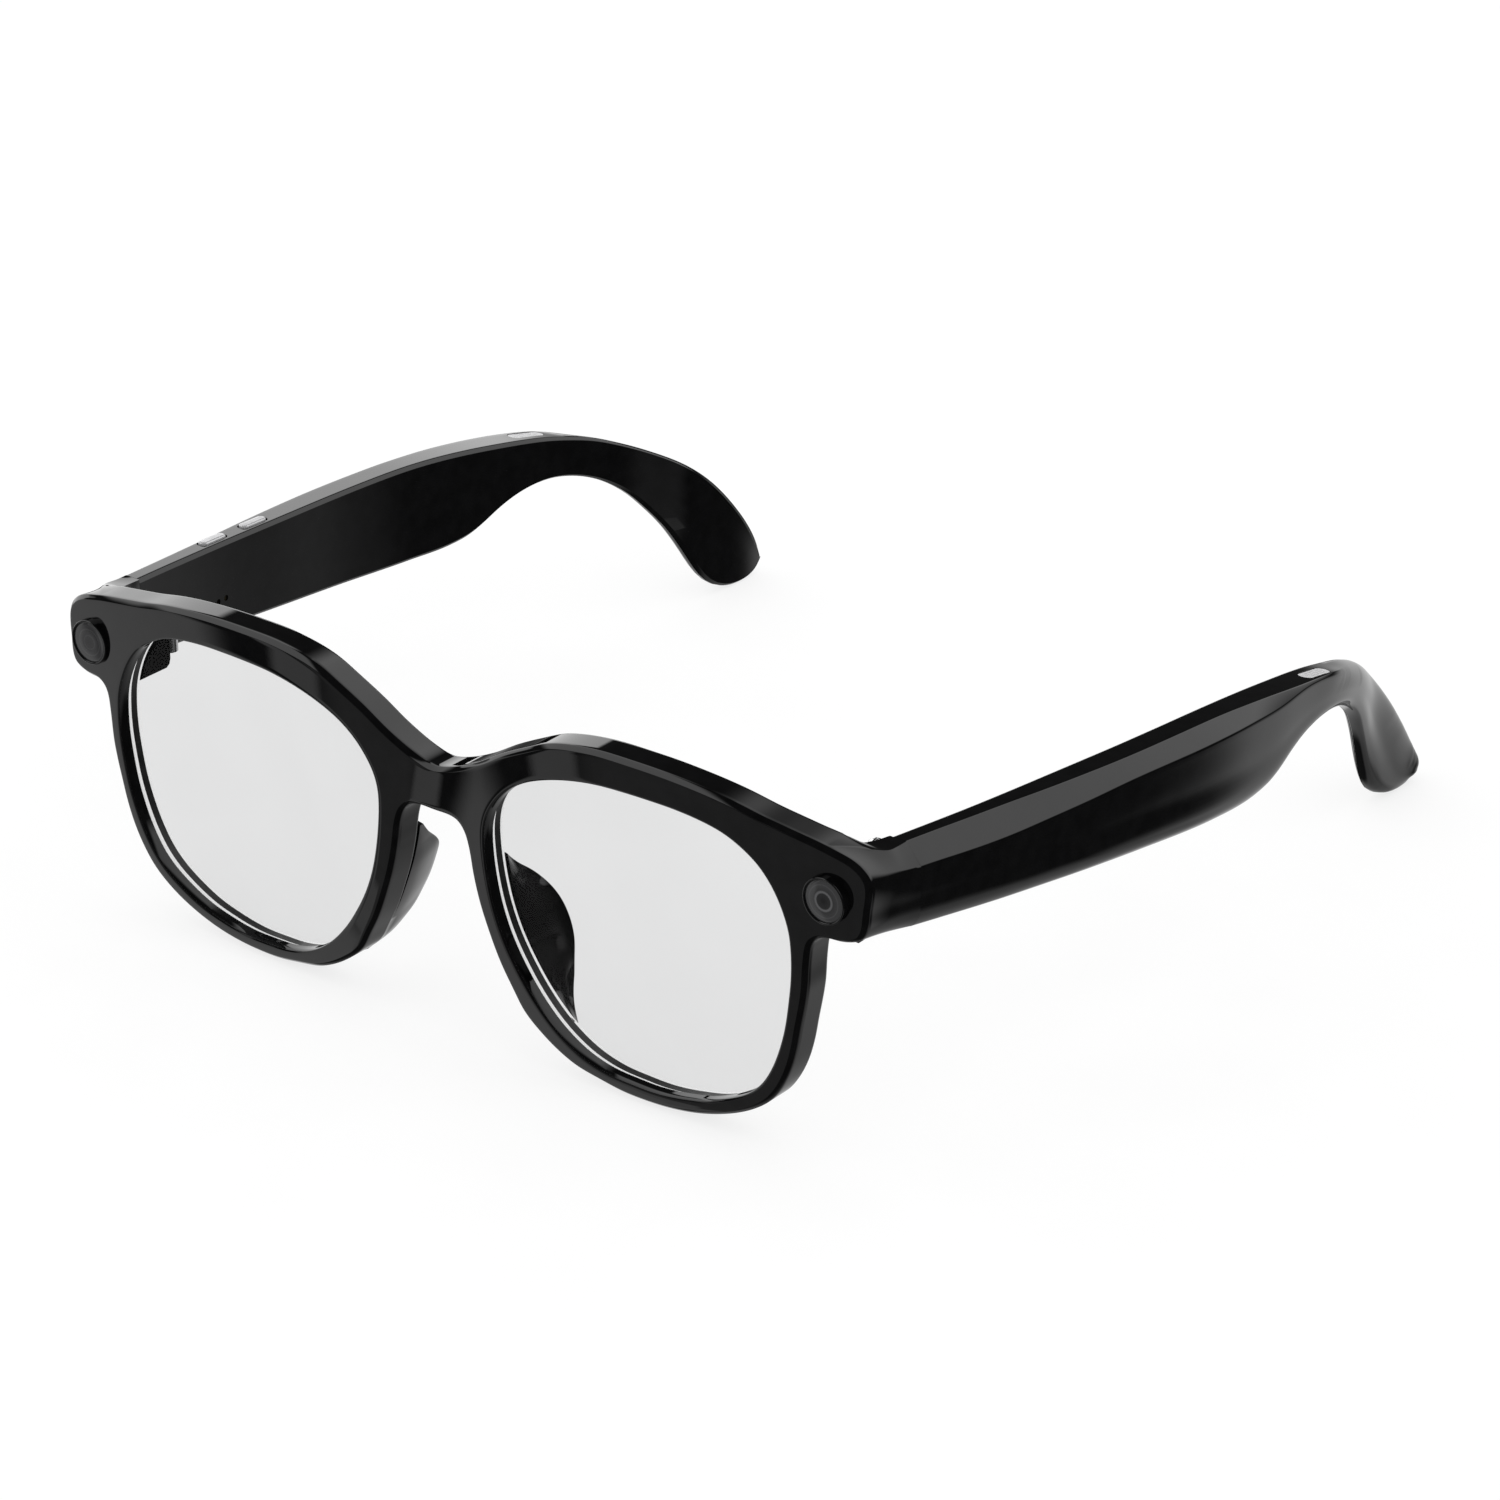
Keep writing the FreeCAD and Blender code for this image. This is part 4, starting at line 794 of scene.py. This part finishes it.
def pill(build, seat, layers):
    """Stacked pill outlines: (height, length, width)."""
    base, along, up, across = seat
    rows = []
    for height, length, width in layers:
        ring = pill_ring(length, width)
        rows.append(base + np.outer(ring[:, 0], along) + np.outer(ring[:, 1], across) + up * height)
    build.bar(rows)


CORE_START, CORE_END_STEPS, CORE_RADIUS = 115, 36, 0.3
BUTTONS = {"power_button": 30.7, "capture_button": 39.9}
BUTTON_INSET = 1.95
BUTTON_LENGTH, BUTTON_WIDTH = 5.3, 1.6
CONTACT_PLACES = (29.325, 31.075)
VENT_Y, VENT_INSET = 103, 2.9
VENT_LENGTH, VENT_WIDTH = 7.2, 2.3
VENT_ROW_GAP, VENT_HOLE_RADIUS = 0.55, 0.15
# Rows of vent holes: (row, holes to either side of the middle one, shift in holes, pitch).
VENT_ROWS = [(-1, 4, 0.5, 0.48), (0, 5, 0, 0.5), (1, 4, 0.5, 0.48)]


def build_temple_parts(side):
    """Outer shell with its openings, and inner cover, of one temple."""
    shell, cover, tools = Build(), Build(), Build()
    shell.bar(temple_rows("shell"))
    cover.bar(temple_rows("cover"))
    tools.bar(bay_rows())
    openings = [(VENT_Y, VENT_INSET, -0.55, VENT_LENGTH + 0.1, VENT_WIDTH + 0.1)]
    if side < 0:
        openings += [(y, BUTTON_INSET, -0.9, BUTTON_LENGTH + 0.65, BUTTON_WIDTH + 0.25)
                     for y in BUTTONS.values()]
    for y, inset, floor, length, width in openings:
        pill(tools, top_frame(y, inset), [(floor, length, width), (1.5, length, width)])
    body = shell.finish(SIDES[side] + "_temple_outer_shell", side)
    combine(body, tools.finish("temple_cuts", side), "DIFFERENCE")
    shade(body, 30)
    lid = cover.finish(SIDES[side] + "_temple_cover", side)
    if side < 0:
        holes = Build()
        for y in CONTACT_PLACES:
            turned(holes, "x", (-69, y, -5.0), [(0, 0), (0.45, 0), (0.45, 3), (0, 3)], 28)
        combine(lid, holes.finish("contact_cuts"), "DIFFERENCE")
        shade(lid, 30)
    return body, lid


# Directions along and across each axis of turning.
TURN_AXES = {
    "x": ((1, 0, 0), (0, 1, 0), (0, 0, 1)),
    "y": ((0, 1, 0), (0, 0, 1), (1, 0, 0)),
}


def turned(build, axis, base, profile, count=96):
    """Turned shape about the x or y axis through base: profile of (radius, along)."""
    angles = np.linspace(0, 2 * math.pi, count, endpoint=False)
    along, one, two = np.array(TURN_AXES[axis], float)
    circle = np.outer(np.cos(angles), one) + np.outer(np.sin(angles), two)
    build.rows([np.array(base) + along * reach + radius * circle for radius, reach in profile], wrap=True)


def build_core(side):
    """Bendable steel core in the middle of the tail."""
    rows = []
    turns = np.linspace(0, 2 * math.pi, 16, endpoint=False)
    for place in np.linspace(place_of_top(CORE_START), len(TOP_CURVE) - 1 - CORE_END_STEPS, 40):
        top, low, flat, full, drop, height = station_values(place)
        rows.append([temple_place(top, low, full * 0.45 + CORE_RADIUS * math.cos(turn),
                                  height * 0.5 + CORE_RADIUS * math.sin(turn)) for turn in turns])
    build = Build()
    build.bar(rows)
    return build.finish(SIDES[side] + "_temple_core", side, sharp=60)


def build_grille(side):
    """Vent plate with three rows of fine holes."""
    seat = top_frame(VENT_Y, VENT_INSET)
    build = Build()
    pill(build, seat, [(-0.5, VENT_LENGTH, VENT_WIDTH), (-0.16, VENT_LENGTH, VENT_WIDTH),
                       (-0.09, VENT_LENGTH - 0.16, VENT_WIDTH - 0.16)])
    plate = build.finish(SIDES[side] + "_vent_plate", side)
    holes = Build()
    base, along, up, across = seat
    turns = np.linspace(0, 2 * math.pi, 8, endpoint=False)
    circle = np.outer(np.cos(turns), along) + np.outer(np.sin(turns), across)
    for row, reach, shift, pitch in VENT_ROWS:
        for column in range(-reach, reach + 1):
            centre = base + across * row * VENT_ROW_GAP + along * (column + shift) * pitch
            ring = centre + circle * VENT_HOLE_RADIUS
            holes.bar([ring - up * 0.35, ring + up * 0.4])
    combine(plate, holes.finish("vent_holes", side), "DIFFERENCE")
    shade(plate, 30)
    return plate


def build_button(name):
    """Button cap with a softly rounded top."""
    layers = [(-1.4, 0), (0.08, 0), (0.2, 0.08), (0.27, 0.22), (0.3, 0.42), (0.3, 0.9)]
    build = Build()
    pill(build, top_frame(BUTTONS[name], BUTTON_INSET),
         [(height, BUTTON_LENGTH - inset, BUTTON_WIDTH - inset) for height, inset in layers])
    return build.finish(name + "_cap", -1, sharp=50)


BEZEL_PROFILE = [
    (2.92, 3.0), (2.92, 0.14), (2.94, 0.02), (2.98, -0.05), (3.03, -0.09), (3.08, -0.1), (3.16, -0.1),
    (3.21, -0.08), (3.25, -0.03), (3.27, 0.04), (3.275, 0.12), (3.275, 6.0), (2.92, 6.0), (2.92, 3.0),
]
WINDOW_PROFILE = [
    (0.001, 0.08), (1.2, 0.08), (2.6, 0.08), (2.84, 0.1), (2.91, 0.16), (2.91, 0.9), (0.001, 0.9),
]


def build_round(name, side, profile):
    """Ring or glass of a round window."""
    build = Build()
    turned(build, "y", (side * BEZEL_X, 0, 0), profile)
    return build.finish(name, sharp=40)


WINDOW_RADIUS = 2.9
LENS_GROWTH = 0.7
LENS_FRONT, LENS_BACK = 2.0, 4.62
# Bands of the lens edge from front to back: (end depth, material number); the pale bands paint a highlight on
# the edge and the dark band between them paints the shade of the gap in the groove.
LENS_EDGE_PAINTED_BANDS = [(3.04, 1), (4.2, 2), (LENS_BACK, 1)]


def build_lens(side):
    """Curved lens whose edge carries painted bands: pale glowing bands paint its highlight, and a dark line
    between them paints the shade of the gap in the groove.
    """
    hole, hole_normals = aperture_loop()
    rim = hole + hole_normals * LENS_GROWTH
    build = Build()
    build.add(*sheet(rim, [], LENS_FRONT, spacing=2.0))
    build.add(*sheet(rim, [], LENS_BACK, spacing=2.0))
    depths = [LENS_FRONT] + [end for end, _ in LENS_EDGE_PAINTED_BANDS]
    build.rows([on_face(rim, depth) for depth in depths], wrap=True)
    lens = build.finish(SIDES[side] + "_lens_body", side, sharp=40)
    for face in lens.data.polygons:
        depths = []
        for corner in face.vertices:
            x, y, z = (np.array(lens.data.vertices[corner].co) - ORIGIN) / MM
            depths.append(y - face_y(x, z))
        if max(depths) - min(depths) > 0.1:
            middle = sum(depths) / len(depths)
            face.material_index = [number for end, number in LENS_EDGE_PAINTED_BANDS if middle < end][0]
    return lens


# ------------------------------------------------------------------ materials
class Tree:
    """Node tree of a material or of the world, emptied and given its output node."""

    def __init__(self, owner, output):
        owner.use_nodes = True
        self.nodes = owner.node_tree.nodes
        self.links = owner.node_tree.links
        self.nodes.clear()
        self.output = self.nodes.new(output)

    def node(self, kind, inputs=None, **settings):
        """New node; each input takes a value or the output of another node."""
        made = self.nodes.new("ShaderNode" + kind)
        for name, value in settings.items():
            setattr(made, name, value)
        for name, value in (inputs or {}).items():
            if isinstance(value, bpy.types.NodeSocket):
                self.links.new(value, made.inputs[name])
            else:
                made.inputs[name].default_value = value
        return made

    def value(self, operation, *numbers):
        """Result of a maths node."""
        return self.node("Math", dict(enumerate(numbers)), operation=operation).outputs[0]

    def finish(self, shader):
        self.links.new(shader.outputs[0], self.output.inputs["Surface"])


def new_material(name):
    material = bpy.data.materials.new(name)
    return material, Tree(material, "ShaderNodeOutputMaterial")


def noise(tree, scale, detail=3.0, stretch=(1, 1, 1)):
    """Noise in object space."""
    place = tree.node("TexCoord").outputs["Object"]
    mapped = tree.node("Mapping", {"Vector": place, "Scale": stretch}).outputs["Vector"]
    return tree.node("TexNoise", {"Vector": mapped, "Scale": scale, "Detail": detail}).outputs["Fac"]


def remap(tree, value, low, high):
    """Noise spread over a range."""
    limits = {"From Min": 0.3, "From Max": 0.7, "To Min": low, "To Max": high}
    return tree.node("MapRange", {"Value": value, **limits}).outputs["Result"]


def colour_mix(tree, value, dark, light):
    """Colour between a dark and a light tone."""
    ramp = tree.node("ValToRGB", {"Fac": value})
    for stop, position, colour in zip(ramp.color_ramp.elements, (0.35, 0.65), (dark, light)):
        stop.position = position
        stop.color = (*colour, 1)
    return ramp.outputs["Color"]


def principled(name, dark, light, rough, metal=0.0, scale=900, bump=0.0, bump_scale=4000,
               stretch=(1, 1, 1), glow=0.0):
    """Surface with varied colour and roughness and a fine relief; glow adds an emission, which paints light
    where it is used.
    """
    material, tree = new_material(name)
    inputs = {
        "Base Color": colour_mix(tree, noise(tree, scale, 4.0, stretch), dark, light),
        "Roughness": remap(tree, noise(tree, scale * 0.37, 3.0, stretch), *rough),
        "Metallic": metal,
        "IOR": 1.5,
        "Emission Color": (1, 1, 1, 1),
        "Emission Strength": glow,
    }
    if bump:
        height = noise(tree, bump_scale, 2.0, stretch)
        relief = tree.node("Bump", {"Strength": bump, "Distance": 0.00002, "Height": height})
        inputs["Normal"] = relief.outputs["Normal"]
    tree.finish(tree.node("BsdfPrincipled", inputs))
    return material


def lens_material():
    """Clear lens with a faint grey tint that mirrors on its outer side only."""
    material, tree = new_material("clear_lens")
    tint = colour_mix(tree, noise(tree, 60, 2.0), (0.878, 0.879, 0.88), (0.884, 0.885, 0.886))
    through = tree.node("BsdfTransparent", {"Color": tint})
    gloss = tree.node("BsdfGlossy", {"Roughness": 0.02})
    fresnel = tree.node("Fresnel", {"IOR": 1.15}).outputs["Fac"]
    outside = tree.value("SUBTRACT", 1, tree.node("NewGeometry").outputs["Backfacing"])
    strength = tree.value("MULTIPLY", fresnel, outside)
    tree.finish(tree.node("MixShader", {0: strength, 1: through.outputs[0], 2: gloss.outputs[0]}))
    return material


def painted_window_material(name, centre, painted_rings):
    """Dark glass disc with concentric rings: the rings are (share of the radius, brightness) and paint the
    parts behind the glass with their shade and highlights; an emission of the same colour makes the disc
    glow, as painted light.
    """
    material, tree = new_material(name)
    position = tree.node("NewGeometry").outputs["Position"]
    shift = tree.node("VectorMath", {0: position, 1: centre}, operation="SUBTRACT").outputs["Vector"]
    flat = tree.node("VectorMath", {0: shift, 1: (1, 0, 1)}, operation="MULTIPLY").outputs["Vector"]
    distance = tree.node("VectorMath", {0: flat}, operation="LENGTH").outputs["Value"]
    ramp = tree.node("ValToRGB", {"Fac": tree.value("DIVIDE", distance, WINDOW_RADIUS * MM)})
    stops = ramp.color_ramp.elements
    while len(stops) < len(painted_rings):
        stops.new(0.5)
    for stop, (share, value) in zip(stops, painted_rings):
        stop.position = share
        stop.color = (value, value, value * 1.03, 1)
    colour = ramp.outputs["Color"]
    rough = remap(tree, noise(tree, 700), 0.03, 0.07)
    glass = tree.node("BsdfPrincipled", {"Base Color": colour, "Roughness": rough, "IOR": 1.5})
    # Painted light: the disc glows in its own ring colours, though it is no lamp.
    glow = tree.node("Emission", {"Color": colour, "Strength": 0.45})
    tree.finish(tree.node("AddShader", {0: glass.outputs[0], 1: glow.outputs[0]}))
    return material


def grey(low, high):
    return (low,) * 3, (high,) * 3


BLACK = ((0.0015, 0.0015, 0.0016), (0.0028, 0.0028, 0.003))
# Surfaces: dark and light tone, range of roughness, and what differs from the usual.
SURFACES = {
    "gloss_black": (*BLACK, (0.012, 0.03), {"scale": 420, "bump": 0.02, "bump_scale": 2600}),
    "bezel_black": (*BLACK, (0.02, 0.04), {"scale": 800, "bump": 0.02}),
    "barrel_black": (*grey(0.004, 0.009), (0.25, 0.4), {"scale": 2000, "bump": 0.2, "stretch": (1, 9, 1)}),
    "light_guide": ((0.55, 0.57, 0.6), (0.7, 0.71, 0.73), (0.2, 0.35), {"scale": 1200, "bump": 0.1}),
    "circuit_green": ((0.004, 0.05, 0.022), (0.012, 0.11, 0.045), (0.3, 0.5), {"scale": 1500, "bump": 0.4}),
    "hinge_steel": ((0.55, 0.55, 0.56), (0.72, 0.72, 0.73), (0.12, 0.22),
                    {"metal": 1.0, "scale": 1800, "bump": 0.1, "stretch": (6, 6, 0.6)}),
    "screw_steel": ((0.6, 0.6, 0.61), (0.78, 0.78, 0.78), (0.1, 0.2),
                    {"metal": 1.0, "scale": 2400, "bump": 0.1}),
    "core_steel": (*grey(0.5, 0.62), (0.2, 0.3), {"metal": 1.0, "scale": 2000, "bump": 0.2}),
    "battery_foil": ((0.6, 0.6, 0.61), (0.8, 0.8, 0.8), (0.22, 0.45),
                     {"metal": 1.0, "scale": 350, "bump": 0.6, "bump_scale": 900}),
    "speaker_black": (*grey(0.008, 0.02), (0.35, 0.55), {"scale": 2000, "bump": 0.4}),
    # The vent plate's pale grey is partly its own light tone and partly a painted reflection of a bright
    # panel.
    "grille_dark": ((0.68, 0.68, 0.69), (0.8, 0.8, 0.81), (0.3, 0.42),
                    {"metal": 0.1, "scale": 1600, "bump": 0.1}),
    "flex_amber": ((0.4, 0.15, 0.02), (0.55, 0.24, 0.04), (0.25, 0.4), {"bump": 0.2, "stretch": (1, 8, 1)}),
    # The contacts are gold metal darkened to paint the shade in their holes.
    "contact_gold": ((0.02, 0.018, 0.012), (0.05, 0.04, 0.02), (0.25, 0.4),
                     {"metal": 0.8, "scale": 1500, "bump": 0.2}),
    "switch_black": (*grey(0.01, 0.02), (0.35, 0.5), {"scale": 1500, "bump": 0.3}),
    # The button's mid grey paints the bright sheen on the top of a black button.
    "button_black": ((0.5, 0.5, 0.51), (0.58, 0.58, 0.59), (0.12, 0.2), {"metal": 0.35, "bump": 0.05}),
    "microphone_steel": (*grey(0.4, 0.55), (0.25, 0.4), {"metal": 1.0, "scale": 1500, "bump": 0.2}),
    # Painted light on the lens edge: a pale tone with a glow paints its highlight, and the dark band paints
    # the shade of the gap in the groove.
    "lens_edge_painted_highlight": (*grey(0.8, 0.86), (0.3, 0.5), {"scale": 1500, "bump": 0.1, "glow": 0.25}),
    "lens_gap_painted_shade": (*grey(0.004, 0.008), (0.3, 0.5), {"scale": 1500, "bump": 0.1}),
}
MATERIALS = {name: principled(name, *look, **options) for name, (*look, options) in SURFACES.items()}
MATERIALS["clear_lens"] = lens_material()


# ------------------------------------------------------------------ assemble
def attach(piece, body, replaced, slot, material=None):
    """Give a piece its material and body, and put it in place of a design node."""
    piece.data.materials.append(material or MATERIALS[slot])
    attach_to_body(piece, body)
    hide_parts(replaced)


attach(build_front(), "front", "front_frame", "gloss_black")
for side, name in SIDES.items():
    shell, lid = build_temple_parts(side)
    attach(shell, name + "_temple", name + "_temple_shell", "gloss_black")
    attach(lid, name + "_temple", name + "_temple_inner_cover", "gloss_black")
    attach(build_core(side), name + "_temple", name + "_temple_core_wire", "core_steel")
    attach(build_grille(side), name + "_temple", name + "_speaker_grille", "grille_dark")
for name in BUTTONS:
    attach(build_button(name), name, name, "button_black")
for side, name in SIDES.items():
    lens = build_lens(side)
    attach(lens, "front", name + "_lens", "clear_lens")
    # The lens edge bands take the painted highlight and painted shade materials.
    lens.data.materials.append(MATERIALS["lens_edge_painted_highlight"])
    lens.data.materials.append(MATERIALS["lens_gap_painted_shade"])

# Rings of the round windows from the centre out: (share of the radius, brightness); the brightness paints the
# parts behind the glass with their shade, and a painted highlight on the camera's barrel ring.
CAMERA_PAINTED_RINGS = [
    (0.0, 0.002), (0.12, 0.004), (0.2, 0.006), (0.36, 0.008), (0.41, 0.055), (0.46, 0.055), (0.52, 0.014),
    (0.74, 0.02), (0.78, 0.032), (0.82, 0.02), (0.95, 0.022),
]
INDICATOR_PAINTED_RINGS = [
    (0.0, 0.016), (0.3, 0.018), (0.34, 0.026), (0.40, 0.018), (0.62, 0.02), (0.66, 0.03), (0.72, 0.019),
    (0.86, 0.022), (0.95, 0.02),
]
for name, side, painted_rings in (("camera", 1, CAMERA_PAINTED_RINGS), ("indicator", -1, INDICATOR_PAINTED_RINGS)):
    centre = np.array([side * BEZEL_X, 0, 0]) * MM + ORIGIN
    attach(build_round(name + "_ring", side, BEZEL_PROFILE), "front", name + "_bezel", "bezel_black")
    glass = painted_window_material(name + "_window_painted_glass", tuple(centre), painted_rings)
    attach(build_round(name + "_glass", side, WINDOW_PROFILE), "front", name + "_window", "window_glass",
           glass)

# Design nodes that are shown as they are, by material.
SHOWN_NODES = {
    "gloss_black": ["brow_cover"],
    "flex_amber": ["front_flex_cable"],
    "barrel_black": ["camera_lens_barrel"],
    "circuit_green": ["camera_sensor_board", "indicator_led_board"],
    "light_guide": ["indicator_light_guide"],
    "screw_steel": ["front_leaf_screws"],
    "switch_black": ["button_switches"],
    "contact_gold": ["charging_contacts"],
}
SHOWN_PAIRS = {
    "microphone_steel": ["microphone"],
    "hinge_steel": ["front_hinge_leaf", "temple_hinge_leaf"],
    "screw_steel": ["hinge_screw", "temple_leaf_screws"],
    "circuit_green": ["circuit_board"],
    "battery_foil": ["battery"],
    "speaker_black": ["speaker"],
    "flex_amber": ["speaker_flex_cable"],
}


def paint(node, material):
    NODES[node].data.materials.clear()
    NODES[node].data.materials.append(MATERIALS[material])


for material, nodes in SHOWN_NODES.items():
    for node in nodes:
        paint(node, material)
for material, nodes in SHOWN_PAIRS.items():
    for node in nodes:
        for side in SIDES.values():
            paint(side + "_" + node, material)


# ------------------------------------------------------------------ stage, light and camera
FLOOR_REACH, FLOOR_GLOW = 3.0, 0.775


def build_floor():
    """Large pale floor under the lowest point, bright enough to read as white."""
    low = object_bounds()[0][2]
    mesh = bpy.data.meshes.new("studio_floor")
    corners = [(x * FLOOR_REACH, y * FLOOR_REACH, low) for x, y in ((-1, -1), (1, -1), (1, 1), (-1, 1))]
    mesh.from_pydata(corners, [], [(0, 1, 2, 3)])
    floor = bpy.data.objects.new("studio_floor", mesh)
    bpy.context.scene.collection.objects.link(floor)
    material, tree = new_material("floor_white")
    paint_colour = colour_mix(tree, noise(tree, 40), (0.24, 0.24, 0.24), (0.25, 0.25, 0.25))
    paint_coat = tree.node("BsdfDiffuse", {"Color": paint_colour})
    glow = tree.node("Emission", {"Strength": FLOOR_GLOW})
    tree.finish(tree.node("AddShader", {0: paint_coat.outputs[0], 1: glow.outputs[0]}))
    mesh.materials.append(material)
    floor.visible_glossy = False


# Soft light panels seen in reflections, in degrees: azimuth from +Y towards +X, elevation,
# half width, half height, strength, softness.
PANELS = [
    (-92, -22, 38, 36, 0.85, 2),
    (-140, -25, 2.0, 35, 0.7, 0.6),
    (-160, -30, 17, 36, 0.24, 2),
    (-66, 5, 29, 16, 2.0, 1.0),
    (-12, 49, 11, 6, 0.9, 0.8),
    (-101, 45, 44, 20, 1.7, 3),
    (22, 36, 34, 24, 1.7, 7),
    (-5, -24, 34, 22, 0.8, 8),
    (20, -62, 55, 24, 0.42, 6),
]
BASE_LIGHT = 0.04


def panel_light(tree, direction, panel):
    """Brightness of one soft rectangular panel in a direction."""
    azimuth, elevation, half_width, half_height, strength, softness = panel
    a, e = math.radians(azimuth), math.radians(elevation)
    centre = (math.sin(a) * math.cos(e), math.cos(a) * math.cos(e), math.sin(e))
    right = (math.cos(a), -math.sin(a), 0)
    up = (-math.sin(a) * math.sin(e), -math.cos(a) * math.sin(e), math.cos(e))
    ahead, aside, above = [tree.node("VectorMath", {0: direction, 1: axis},
                                     operation="DOT_PRODUCT").outputs["Value"]
                           for axis in (centre, right, up)]
    masks = []
    for value, half in ((aside, half_width), (above, half_height)):
        angle = tree.value("ABSOLUTE", tree.value("ARCTAN2", value, ahead))
        limits = {"From Min": math.radians(half - softness), "From Max": math.radians(half + softness),
                  "To Min": 1, "To Max": 0}
        fade = tree.node("MapRange", {"Value": angle, **limits}, interpolation_type="SMOOTHSTEP")
        masks.append(fade.outputs["Result"])
    return tree.value("MULTIPLY", tree.value("MULTIPLY", *masks), strength)


def build_world():
    """White to the camera and to matt surfaces; a dark studio with soft panels in reflections."""
    world = bpy.data.worlds.new("studio")
    bpy.context.scene.world = world
    tree = Tree(world, "ShaderNodeOutputWorld")
    direction = tree.node("TexCoord").outputs["Generated"]
    total = panel_light(tree, direction, PANELS[0])
    for panel in PANELS[1:]:
        total = tree.value("MAXIMUM", total, panel_light(tree, direction, panel))
    studio = tree.node("Background", {"Strength": tree.value("ADD", total, BASE_LIGHT)})
    plain = tree.node("Background", {"Color": (1, 1, 1, 1)})
    glossy = tree.node("LightPath").outputs["Is Glossy Ray"]
    tree.finish(tree.node("MixShader", {0: glossy, 1: plain.outputs[0], 2: studio.outputs[0]}))


CAMERA_PLACE = (0.40667, -0.52913, 0.33342)
CAMERA_DIRECTION = (-0.5537, 0.7120, -0.4318)
CAMERA_LENS, CAMERA_SENSOR = 122.9, 36


def build_camera():
    data = bpy.data.cameras.new("camera")
    data.lens = CAMERA_LENS
    data.sensor_width = CAMERA_SENSOR
    camera = bpy.data.objects.new("camera", data)
    bpy.context.scene.collection.objects.link(camera)
    camera.location = CAMERA_PLACE
    camera.rotation_euler = Vector(CAMERA_DIRECTION).to_track_quat("-Z", "Y").to_euler()
    bpy.context.scene.camera = camera


build_floor()
build_world()
build_camera()
bpy.context.scene.view_settings.view_transform = "Standard"
